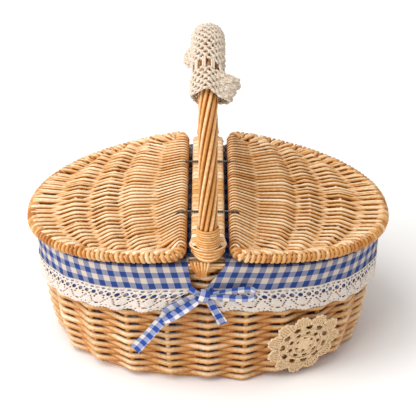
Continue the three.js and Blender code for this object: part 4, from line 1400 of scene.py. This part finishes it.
def holes_mended(place, solid):
    """Moves the points just outside the solid part of a pattern onto its edge."""
    step = 0.00004
    least_slope = 0.2
    longest_move = 0.0004
    for _ in range(3):
        value = solid(place)
        slope = np.stack((
            solid(place + (step, 0)) - solid(place - (step, 0)),
            solid(place + (0, step)) - solid(place - (0, step)),
        ), -1) / (2 * step)
        size = np.maximum((slope ** 2).sum(-1, keepdims=True), least_slope)
        move = np.where(value[..., None] < 0, -value[..., None] * slope / size, 0)
        place = place + np.clip(move, -longest_move, longest_move)
    return place


def cells_kept(value, step):
    """Which cells of a pattern are thread: partly solid, and nowhere far into a hole."""
    corners = cells(value)
    return (corners > -step * 0.55).all(-1) & (corners.max(-1) > 0)


def dot(place, x, y, rx, ry):
    """Distance to a round or oval hole, measured in its own size."""
    dx = (place[..., 0] - x) / rx
    dy = (place[..., 1] - y) / ry
    return (np.hypot(dx, dy) - 1) * min(rx, ry)


def lace_holes():
    """Holes of one scallop: their places across and down, and half their widths and heights."""
    large_pitch = 0.00867
    holes = [(0.0, 0.0232, 0.0032, 0.0009)]
    for k in (-2, -1, 0, 1, 2):
        holes.append((k * 0.0065, 0.0030, 0.0022, 0.0011))
    for k in (-1, 0, 1):
        holes.append((k * large_pitch, 0.0094, 0.0024, 0.0023))
    for k in (-1.5, -0.5, 0.5, 1.5):
        holes.append((k * large_pitch, 0.0066, 0.0010, 0.0009))
        holes.append((k * large_pitch, 0.0123, 0.0013, 0.0011))
    for side in (-1, 1):
        for k in range(4):
            holes.append((side * (0.0100 - 0.0016 * k), 0.0154 + 0.0022 * k, 0.0010, 0.0008))
        holes.append((side * 0.0052, 0.0151, 0.0011, 0.0009))
        for x, y in ((0.0075, 0.0252), (0.0130, 0.0238)):
            holes.append((side * x, y, 0.0008, 0.0007))
    return holes


def lace_solid(place, period):
    """Above 0 where the lace is thread, below 0 in its holes, at metres along and down."""
    depth = 0.0272
    scallop = 0.0012
    picot = 0.0012
    picots = 7
    x = place[..., 0] / period
    folded = np.stack(((x - np.round(x)) * LACE_PATTERN, place[..., 1]), -1)
    wave = folded[..., 0] / LACE_PATTERN
    rounded = scallop * np.cos(2 * math.pi * wave)
    edge = depth + rounded + picot * np.abs(np.sin(math.pi * picots * wave))
    least = edge - folded[..., 1]
    for hole in lace_holes():
        least = np.minimum(least, dot(folded, *hole))
    return least


class BASKET_OT_cloth(Operator):
    """Lays the liner and its cuffs, hangs the lace and ties the bow"""

    bl_idname = "basket.cloth"
    bl_label = "Basket cloth"

    def execute(self, context):
        settings = context.scene.basket_cloth
        self.floor()
        for name, side in (("right", 1), ("left", -1)):
            self.liner(name, side)
            self.cuff(name, side)
            self.lace(settings, name, side)
        self.tie()
        return {"FINISHED"}

    def floor(self):
        """The liner's floor, an oval inside the wall, slightly rippled."""
        inset = -0.0108
        wave = 0.0005
        angle = 2 * math.pi * np.arange(97) / 96
        share = np.maximum(np.linspace(0.0, 1.0, 16)[:, None], 0.004)
        edge = wall(angle, FLOOR_HEIGHT, inset)[None]
        points = edge * share[..., None] * (1, 1, 0) + FLOOR_HEIGHT * UP
        ripple = wave * np.sin(points[..., 0] * 61) * np.sin(points[..., 1] * 83 + 1)
        points[..., 2] += ripple * (1 - share ** 4)
        cloth = Cloth()
        cloth.add(points[:, ::-1], points[:, ::-1, :2].copy())
        piece = cloth.piece("liner_floor_cloth", "Gingham", "basket", ["liner_floor"], "gingham")

    def liner(self, name, side):
        """One side of the liner, from the floor up to its cuff."""
        inset = -0.0107
        above_floor = 0.0004
        under_cuff = 0.002
        wave = 0.0008
        wave_length = 0.061
        begin = FRONT if side > 0 else BACK
        angle = begin + math.pi * np.linspace(0.0, 1.0, 111)[:, None]
        low = FLOOR_HEIGHT + above_floor
        share = np.linspace(0, 1, 22)[None]
        height = low + (rim_top(angle) - CUFF_INNER + under_cuff - low) * share
        arc = arc_at_angle(angle)
        fold = wave * np.sin(arc * 2 * math.pi / wave_length) * np.sin(math.pi * share)
        points = wall(angle, height, inset + fold)
        flat = np.stack(np.broadcast_arrays(arc, height), -1)
        cloth = Cloth()
        cloth.add(points, flat)
        piece = cloth.piece(f"liner_{name}_cloth", "Gingham", "basket", [f"liner_{name}"], "gingham")

    def cuff(self, name, side):
        """The liner's edge, folded over the rim and down to the lace; its checks lean a little."""
        reach = CUFF_OFFSET
        wave = 0.0006
        hem = 0.0012
        lean = 0.34 if side > 0 else -0.24
        bend_over = [(0.0006, 0.0095), (-0.0005, 0.0078), (-0.0010, 0.0045)]
        outer_drops = (
            0.0022, 0.0045, 0.0070, 0.0095, 0.0120, 0.0145,
            0.0170, 0.0195, 0.0220, 0.0245, 0.0265, CUFF_DROP,
        )
        outline = [(drop, -reach) for drop in (CUFF_INNER, 0.016, 0.010, 0.005, 0.0022)]
        outline += [(drop, -out) for drop, out in bend_over] + [(-0.0010, 0.0)] + bend_over[::-1]
        outline += [(drop, reach) for drop in outer_drops]
        outline += [(0.0310, reach - 0.0004), (0.0345, reach - 0.0006), (0.0385, reach - 0.0008)]
        drop, offset = (part[None] for part in np.array(outline).T)
        share = np.linspace(0, 1, 261)[:, None]
        angle = cuff_angle(side, share, np.maximum(drop, 0))
        arc = arc_at_angle(angle)
        hang = np.where(offset > 0, np.clip(drop / CUFF_DROP, 0, 1), 0)
        top = rim_top(angle)
        points = wall(angle, np.minimum(top - drop, top), offset + wave * hang * ripples(arc))
        points[..., 2] = top - drop
        length = distances(np.array(outline))
        above_hem = length[-1] - length + hem
        flat = np.stack(np.broadcast_arrays(arc - lean * above_hem[None], above_hem[None]), -1)
        cloth = Cloth()
        cloth.add(points[:, ::-1], flat[:, ::-1])
        piece = cloth.piece(f"cuff_{name}_cloth", "Cuff gingham in painted shadow", "basket", [f"cuff_{name}"], "gingham")

    def lace(self, settings, name, side):
        """The lace along the hem, pierced, scalloped and slightly embossed."""
        step = 0.00062
        overlap = 0.0008
        proud = 0.0002
        embossed = 0.0005
        emboss_width = 0.0009
        wave = 0.0007
        hem_wave = 0.0006
        hem_wave_length = 0.033
        begin, end = (float(arc_at_angle(cuff_angle(side, share, CUFF_DROP))) for share in (0.0, 1.0))
        length = end - begin
        count = max(1, round(length / settings.lace_period))
        period = length / count
        along = np.linspace(0, length, round(length / step) + 1)
        down = np.linspace(0, LACE_DROP, round(LACE_DROP / step) + 1)
        place = np.stack(np.meshgrid(along, down, indexing="ij"), -1)
        value = np.minimum(lace_solid(place, period), 0.001)
        keep = cells_kept(value, step)
        place = holes_mended(place, lambda spot: lace_solid(spot, period))
        share = np.clip(place[..., 0] / length, 0, 1)
        drop = CUFF_DROP - overlap + np.clip(place[..., 1], 0, LACE_DROP)
        angle = cuff_angle(side, share, drop)
        arc = arc_at_angle(angle)
        relief = embossed * smooth(value / emboss_width)
        hang = place[..., 1] / LACE_DROP
        fold = wave * ripples(arc)
        fold = fold + hem_wave * hang * np.sin(arc * 2 * math.pi / hem_wave_length)
        points = wall(angle, rim_top(angle) - drop, CUFF_OFFSET + proud + relief + fold)
        cloth = Cloth()
        cloth.add(points[:, ::-1], place[:, ::-1], keep[:, ::-1])
        piece = cloth.piece(f"lace_{name}_trim", "Lace", "basket", [f"lace_{name}"], "lace")

    def tie(self):
        """The ribbon: a half bow with one loop, a long folded tail, a short tail and a knot."""
        lift = CUFF_OFFSET + 0.0018
        knot_x = -0.0040
        knot_drop = 0.0335
        cloth = Cloth()

        def ribbon(path, across, width, shift=0.0, camber=0.08):
            """Adds a strip of ribbon along a path, bowed across its width."""
            across = unit(np.broadcast_to(across, path.shape))
            width = np.broadcast_to(width, len(path))
            ahead = unit(np.gradient(path, axis=0))
            out = unit(np.cross(across, ahead))
            spread = np.linspace(-0.5, 0.5, 9)
            points = path[:, None] + across[:, None] * (spread[None, :, None] * width[:, None, None])
            curl = camber * width[:, None] * (1 - (2 * spread[None]) ** 2)
            points = points + curl[..., None] * out[:, None]
            sideways = spread[None] * width[:, None] + shift
            flat = np.stack(np.broadcast_arrays(sideways, distances(path)[:, None]), -1)
            cloth.add(points, flat)

        def laid(stops, count, shares, widths, shift):
            """Adds a strip laid on the front; a stop is a place across, a drop and a lift."""
            line = spline(stops, count)
            path = front_point(line[:, 0], line[:, 1], lift + line[:, 2])
            ahead = unit(np.gradient(path, axis=0))
            across = np.cross(outward(np.arctan2(path[:, 1], path[:, 0])), ahead)
            ribbon(path, across, np.interp(np.linspace(0, 1, count), shares, widths), shift)

        # The long tail, which swells where it is folded over
        laid(
            [
                (-0.0065, 0.0335, 0.0030), (-0.014, 0.0385, 0.0032), (-0.026, 0.047, 0.0030),
                (-0.039, 0.0565, 0.0022), (-0.0475, 0.0655, 0.0026), (-0.061, 0.085, 0.0018),
                (-0.077, 0.107, 0.0012),
            ],
            60, (0, 0.08, 0.2, 0.4, 0.5, 0.6, 0.7, 1),
            (0.005, 0.0105, 0.0160, 0.0190, 0.0172, 0.0100, 0.0108, 0.0116), 0.0015,
        )
        # Its fold, which lies on top
        laid(
            [
                (-0.0065, 0.0345, 0.0050), (-0.0150, 0.0408, 0.0064), (-0.0270, 0.0505, 0.0062),
                (-0.0380, 0.0598, 0.0048), (-0.0460, 0.0655, 0.0034),
            ],
            40, (0, 0.15, 0.5, 0.85, 1), (0.0045, 0.0080, 0.0104, 0.0090, 0.0044), 0.0055,
        )
        # The short tail
        laid(
            [
                (-0.0015, 0.0345, 0.0028), (0.002, 0.042, 0.0026), (0.008, 0.055, 0.0020),
                (0.0155, 0.0705, 0.0016),
            ],
            32, (0, 0.2, 1), (0.005, 0.0068, 0.0105), 0.003,
        )
        # The loop
        turn = np.linspace(0, 2 * math.pi, 61)
        reach = (1 - np.cos(turn)) / 2
        bow = np.sign(np.sin(turn)) * np.abs(np.sin(turn)) ** 0.6
        rise = 0.0080 * bow * (0.2 + 0.8 * reach) + 0.0060 * reach
        rounded = 0.0034 + 0.0030 * reach
        path = front_point(knot_x + 0.003 + 0.047 * reach ** 0.85, knot_drop - rise, lift + rounded)
        width = np.interp(turn / (2 * math.pi), (0, 0.15, 0.85, 1), (0.0046, 0.0090, 0.0090, 0.0046))
        ribbon(path, np.array((0.0, -0.23, 0.97)), width, camber=0.0)
        # The two straps from the cuffs to the knot
        for stops in (
            [(-0.0185, 0.0260, 0.0004), (-0.0135, 0.0292, 0.0020), (-0.0065, 0.0325, 0.0030)],
            [(0.0045, 0.0262, 0.0004), (0.0020, 0.0290, 0.0018), (-0.0015, 0.0320, 0.0030)],
        ):
            laid(stops, 16, (0, 1), (0.0085, 0.0052), 0.002)
        # The knot
        ring = np.linspace(0, 2 * math.pi, 33)
        centre = front_point(knot_x, knot_drop, lift + 0.0032)
        wound = centre + 0.0062 * np.cos(ring)[:, None] * np.array((0.3, 0.0, 1.0))
        wound = wound - 0.0042 * np.sin(ring)[:, None] * DEEP
        ribbon(wound, np.array((1.0, 0.0, -0.3)), 0.0100, camber=-0.10)
        nodes = ["tie_knot", "tie_loop", "tie_long_tail", "tie_short_tail"]
        piece = cloth.piece("tie_ribbon", "Gingham", "basket", nodes, "gingham")


def cover_place(share, angle):
    """Turn of the handle's line at a share of the cover, whose hems rise and fall round the handle."""
    notch = math.radians(1.2)
    front_dip = math.radians(2.4)
    back_dip = math.radians(5.0)
    share, angle = np.broadcast_arrays(share, angle)
    notched = COVER_START + notch * np.maximum(0, np.sin(angle)) ** 4
    front = notched - front_dip * np.maximum(0, np.cos(angle - 0.2)) ** 2
    back = COVER_END + back_dip * np.maximum(0, -np.cos(angle)) ** 2
    return front + (back - front) * share


def cover_point(share, angle, lift):
    """A point of the handle cover, with a flap at the right in front and at the left behind."""
    front_flap = 0.0160
    back_flap = 0.0115
    hem_length = 0.14
    hem_loose = 0.0008
    hem_ripple = 0.0010
    share, angle, lift = np.broadcast_arrays(share, angle, lift)
    front = np.interp(share, (0, 0.05, 0.10, 0.125, 0.15, 0.18), (0.25, 0.62, 0.96, 1.0, 0.4, 0.0))
    back = np.interp(1 - share, (0, 0.05, 0.10, 0.15), (1.0, 0.75, 0.3, 0.0))
    hem = smooth(1 - np.minimum(share, 1 - share) / hem_length)
    out = front_flap * front * np.maximum(0, np.cos(angle - 0.05)) ** 6
    out = out + back_flap * back * np.maximum(0, np.cos(angle - math.pi - 0.25)) ** 6
    ripple = hem_ripple * hem * np.sin(5 * angle)
    reach = COVER_RADIUS + lift + hem_loose * hem + out + ripple
    return round_arch(cover_place(share, angle), angle, reach)


def cover_row(place):
    """Share of the cover's length at a share of its rows, which are closer at the hems."""
    return place - 0.05 * np.sin(2 * math.pi * place)


class BASKET_OT_crochet(Operator):
    """Crochets the handle cover and the doily"""

    bl_idname = "basket.crochet"
    bl_label = "Basket crochet"

    def execute(self, context):
        settings = context.scene.basket_crochet
        self.cover(settings)
        self.doily(settings)
        return {"FINISHED"}

    def cover(self, settings):
        """The handle cover: rounds of looped yarn, a row of eyelets, and a net that carries them."""
        eyelets = (0.146, 0.194)
        eyelet_count = 11
        first_post = 0.2
        post_overlap = 0.012
        swing = 0.30
        step = 0.0009
        length = 0.178
        rounds = settings.rounds
        loops = settings.loops

        def round_line(k, angle):
            """Share of the cover's length along one round of loops."""
            return cover_row((k + 0.5 + swing * np.cos(loops * angle + math.pi * k)) / rounds)

        yarn = Bundle(6)
        place = np.arange(loops * 12) / (loops * 12) * 2 * math.pi
        for k in range(rounds):
            if eyelets[0] < cover_row((k + 0.5) / rounds) < eyelets[1]:
                continue
            share = round_line(k, place)
            lift = 0.0004 + 0.0007 * np.cos(2 * loops * place) + 0.0004 * np.cos(3 * place + k)
            thick = settings.yarn_radius * (1 + 0.22 * np.cos(3 * loops * place + 1.7 * k))
            path = cover_point(share, place, lift)
            yarn.add(path, thick, 0.5, up=cover_point(share, place, lift + 0.001) - path, closed=True)
        share = np.linspace(eyelets[0] - post_overlap, eyelets[1] + post_overlap, 7)
        for post in range(eyelet_count):
            angle = 2 * math.pi * (post + first_post) / eyelet_count
            for lean in (-0.06, 0.06):
                path = cover_point(share, angle + lean, 0.0004)
                yarn.add(path, settings.yarn_radius * 0.85, 0.5, up=ACROSS + 0.3 * UP)
        rope = yarn.piece("handle_cover_yarn", "Cream yarn", "basket", [], "crochet")
        along = np.linspace(0, length, round(length / step) + 1)[:, None]
        angle = np.linspace(0, 2 * math.pi, round(2 * math.pi * COVER_RADIUS / step) + 1)[None]
        share = along / length
        apart = np.full((len(along), angle.shape[1]), 1.0)
        for k in range(rounds):
            apart = np.minimum(apart, np.abs(share - round_line(k, angle)) * length)
        hole = (apart > settings.yarn_radius * 1.1) & (share > 0.02) & (share < 0.9)
        flap = (share < 0.15) & (np.cos(angle - 0.05) > 0.55)
        band = (share > eyelets[0]) & (share < eyelets[1])
        post_place = (angle / (2 * math.pi) * eyelet_count - first_post + 0.5) % 1
        open_eyelet = np.abs(post_place - 0.5) > 0.2
        keep = cells(np.where(band, ~open_eyelet, ~hole | flap)).all(-1)
        points = cover_point(share, angle, 0.0)
        flat = np.stack(np.broadcast_arrays(angle * COVER_RADIUS, along), -1)
        cloth = Cloth()
        cloth.add(points[:, ::-1], flat[:, ::-1], keep[:, ::-1])
        piece = cloth.piece("handle_cover", "Cream yarn", "basket", ["crochet_handle_cover"], "crochet")

    def doily_point(self, place, lift):
        """A point of the doily, laid on the wall from its own flat coordinates."""
        clear_of_wall = 0.0092
        arc = arc_at_angle(np.array(DOILY_ANGLE)) + place[..., 0] * 1.03
        height = np.clip(DOILY_HEIGHT + place[..., 1], 0.003, 0.15)
        return wall(angle_at_arc(arc), height, clear_of_wall + lift)

    def doily(self, settings):
        """The doily: a pierced disc with petals, rings of yarn and stitches across each petal."""
        petals = settings.petals
        half_size = 0.0425
        step = 0.0007
        edge_in = 0.0006
        stitch_start = 0.0280
        stitch_end = 0.0012
        # Rings of holes: their count, radius, half width, half height and turn
        rings_of_holes = (
            (petals, 0.0236, 0.0037, 0.0027, 0.5), (9, 0.0156, 0.0024, 0.0020, 0.0),
            (petals, 0.0312, 0.0009, 0.0016, 0.5), (6, 0.0090, 0.0016, 0.0014, 0.5),
        )

        def edge(angle):
            """Reach of the petals at an angle."""
            wave = np.abs(np.cos(petals * angle / 2)) ** 0.6
            uneven = 0.0009 * np.cos(2 * angle + 0.7) + 0.0008 * np.sin(3 * angle)
            return 0.0298 + 0.0098 * wave + 0.0008 * np.cos(petals * 5 * angle) + uneven

        def polar(place):
            """Distance from the middle, and angle."""
            x, y = place[..., 0], place[..., 1]
            return np.hypot(x, y), np.arctan2(y, x)

        def solid(place):
            """Above 0 where the doily is thread, below 0 in its holes."""
            radius, angle = polar(place)
            least = (edge(angle) - radius) * 0.8
            for count, ring, rx, ry, shift in rings_of_holes:
                sector = 2 * math.pi / count
                turned = (angle / sector - shift) - np.round(angle / sector - shift)
                dx = radius * np.cos(turned * sector) - ring
                dy = radius * np.sin(turned * sector)
                least = np.minimum(least, (np.hypot(dx / ry, dy / rx) - 1) * min(rx, ry))
            return least

        def spot_at(reach, angle):
            """Flat coordinates at a reach and an angle."""
            return np.stack((reach * np.cos(angle), reach * np.sin(angle)), -1)

        line = np.arange(-half_size, half_size + step / 2, step)
        place = np.stack(np.meshgrid(line, line, indexing="ij"), -1)
        value = solid(place)
        keep = cells_kept(value, step)
        place = holes_mended(place, solid)
        radius, angle = polar(place)
        ridge = 0.00035 * np.cos(petals * 7 * angle) * smooth(radius / 0.02)
        ridge = ridge + 0.0003 * np.cos(radius * 2 * math.pi / 0.0042)
        points = self.doily_point(place, 0.0006 + ridge + 0.0006 * smooth(value / 0.0016))
        cloth = Cloth()
        cloth.add(points[::-1], place[::-1], keep[::-1])
        piece = cloth.piece("doily", "Ecru yarn", "basket", ["crochet_doily"], "crochet")
        yarn = Bundle(6)
        turn = 2 * math.pi * np.arange(480) / 480
        rings = [(ring + 0.0005 * np.cos(petals * 2 * turn), thick) for ring, thick in (
            (0.0122, 0.0009), (0.0196, 0.0010), (0.0276, 0.0010),
        )]
        for reach, thick in rings + [(edge(turn) - edge_in, 0.0012)]:
            spot = spot_at(reach, turn)
            lift = 0.0017 + 0.0004 * np.cos(petals * 6 * turn)
            path = self.doily_point(spot, lift)
            up = self.doily_point(spot, lift + 0.001) - path
            yarn.add(path, thick * (1 + 0.15 * np.cos(petals * 9 * turn)), 0.5, up=up, closed=True)
        for petal in range(petals):
            for stitch in (-2, -1, 0, 1, 2):
                angle = 2 * math.pi * (petal + stitch * 0.155) / petals
                reach = np.linspace(stitch_start, float(edge(np.array(angle))) - stitch_end, 9)
                spot = spot_at(reach, angle)
                path = self.doily_point(spot, 0.0015)
                up = self.doily_point(spot, 0.0025) - path
                yarn.add(path, 0.0008 * (1 + 0.2 * np.cos(np.arange(9) * 1.9)), 0.5, up=up)
        rope = yarn.piece("doily_yarn", "Ecru yarn", "basket", [], "crochet")


class BASKET_OT_stage(Operator):
    """Sets the floor, the light and the camera"""

    bl_idname = "basket.stage"
    bl_label = "Basket stage"

    def execute(self, context):
        settings = context.scene.basket_stage
        scene = context.scene
        scene.view_settings.view_transform = "Standard"
        world = bpy.data.worlds.new("Studio")
        world.use_nodes = True
        sky = world.node_tree.nodes["Background"]
        sky.inputs["Color"].default_value = (1.0, 0.99, 0.975, 1)
        sky.inputs["Strength"].default_value = settings.sky
        scene.world = world
        self.floor(scene)
        self.lamp(scene, "key", (-1.5, -1.0, 3.4), 3.0, settings.key)
        self.lamp(scene, "side", (-2.4, -0.9, 1.0), 1.2, settings.side)
        self.camera(scene, settings)
        return {"FINISHED"}

    def floor(self, scene):
        """A plain pale floor."""
        size = 6.0
        mesh = bpy.data.meshes.new("floor")
        corners = [(-size, -size, 0), (size, -size, 0), (size, size, 0), (-size, size, 0)]
        mesh.from_pydata(corners, [], [(0, 1, 2, 3)])
        _, shader = material("Paper")
        shader.inputs["Base Color"].default_value = (0.97, 0.962, 0.955, 1)
        shader.inputs["Roughness"].default_value = 1.0
        shader.inputs["Specular IOR Level"].default_value = 0.0
        mesh.materials.append(stocked("Paper"))
        floor = bpy.data.objects.new("floor", mesh)
        scene.collection.objects.link(floor)

    def lamp(self, scene, name, place, size, power):
        """A square lamp turned to the basket."""
        basket_middle = Vector((0, 0, 0.12))
        light = bpy.data.lights.new(name, "AREA")
        light.size = size
        light.energy = power
        lamp = bpy.data.objects.new(name, light)
        lamp.location = place
        lamp.rotation_euler = (basket_middle - Vector(place)).to_track_quat("-Z", "Y").to_euler()
        scene.collection.objects.link(lamp)

    def camera(self, scene, settings):
        """The camera in front of the basket, looking down at it."""
        camera = bpy.data.cameras.new("camera")
        camera.lens = settings.lens
        camera.sensor_width = 36.0
        camera.clip_end = 50.0
        view = bpy.data.objects.new("camera", camera)
        aim = Vector((0, 0, settings.aim_height))
        back = Vector((0, -math.cos(settings.elevation), math.sin(settings.elevation)))
        view.location = aim + back * settings.distance
        view.rotation_euler = (-back).to_track_quat("-Z", "Y").to_euler()
        scene.collection.objects.link(view)
        scene.camera = view


class BASKET_PT_panel(Panel):
    """Sizes and colours of the basket"""

    bl_idname = "BASKET_PT_panel"
    bl_label = "Willow picnic basket"
    bl_space_type = "VIEW_3D"
    bl_region_type = "UI"
    bl_category = "Basket"

    def draw(self, context):
        for name, group, operator in STEPS:
            box = self.layout.box()
            box.operator(operator)
            settings = getattr(context.scene, name)
            for key in group.__annotations__:
                box.prop(settings, key)


STEPS = (
    ("basket_weave", WeaveSettings, "basket.wall"),
    ("basket_handle", HandleSettings, "basket.handle"),
    ("basket_lids", LidSettings, "basket.lids"),
    ("basket_cloth", ClothSettings, "basket.cloth"),
    ("basket_crochet", CrochetSettings, "basket.crochet"),
    ("basket_stage", StageSettings, "basket.stage"),
)
CLASSES = (
    WeaveSettings, HandleSettings, LidSettings, ClothSettings, CrochetSettings, StageSettings,
    BASKET_OT_materials, BASKET_OT_wall, BASKET_OT_handle, BASKET_OT_lids,
    BASKET_OT_cloth, BASKET_OT_crochet, BASKET_OT_stage, BASKET_PT_panel,
)


def register():
    """Adds the classes and their settings to Blender."""
    for item in CLASSES:
        bpy.utils.register_class(item)
    for name, group, _ in STEPS:
        setattr(bpy.types.Scene, name, PointerProperty(type=group))


def unregister():
    """Takes the classes and their settings away again."""
    for name, _, _ in STEPS:
        delattr(bpy.types.Scene, name)
    for item in reversed(CLASSES):
        bpy.utils.unregister_class(item)


def main():
    """Builds the basket."""
    register()
    bpy.ops.basket.materials()
    bpy.ops.basket.wall()
    bpy.ops.basket.handle()
    bpy.ops.basket.lids()
    bpy.ops.basket.cloth()
    bpy.ops.basket.crochet()
    bpy.ops.basket.stage()


if __name__ == "__main__":
    main()
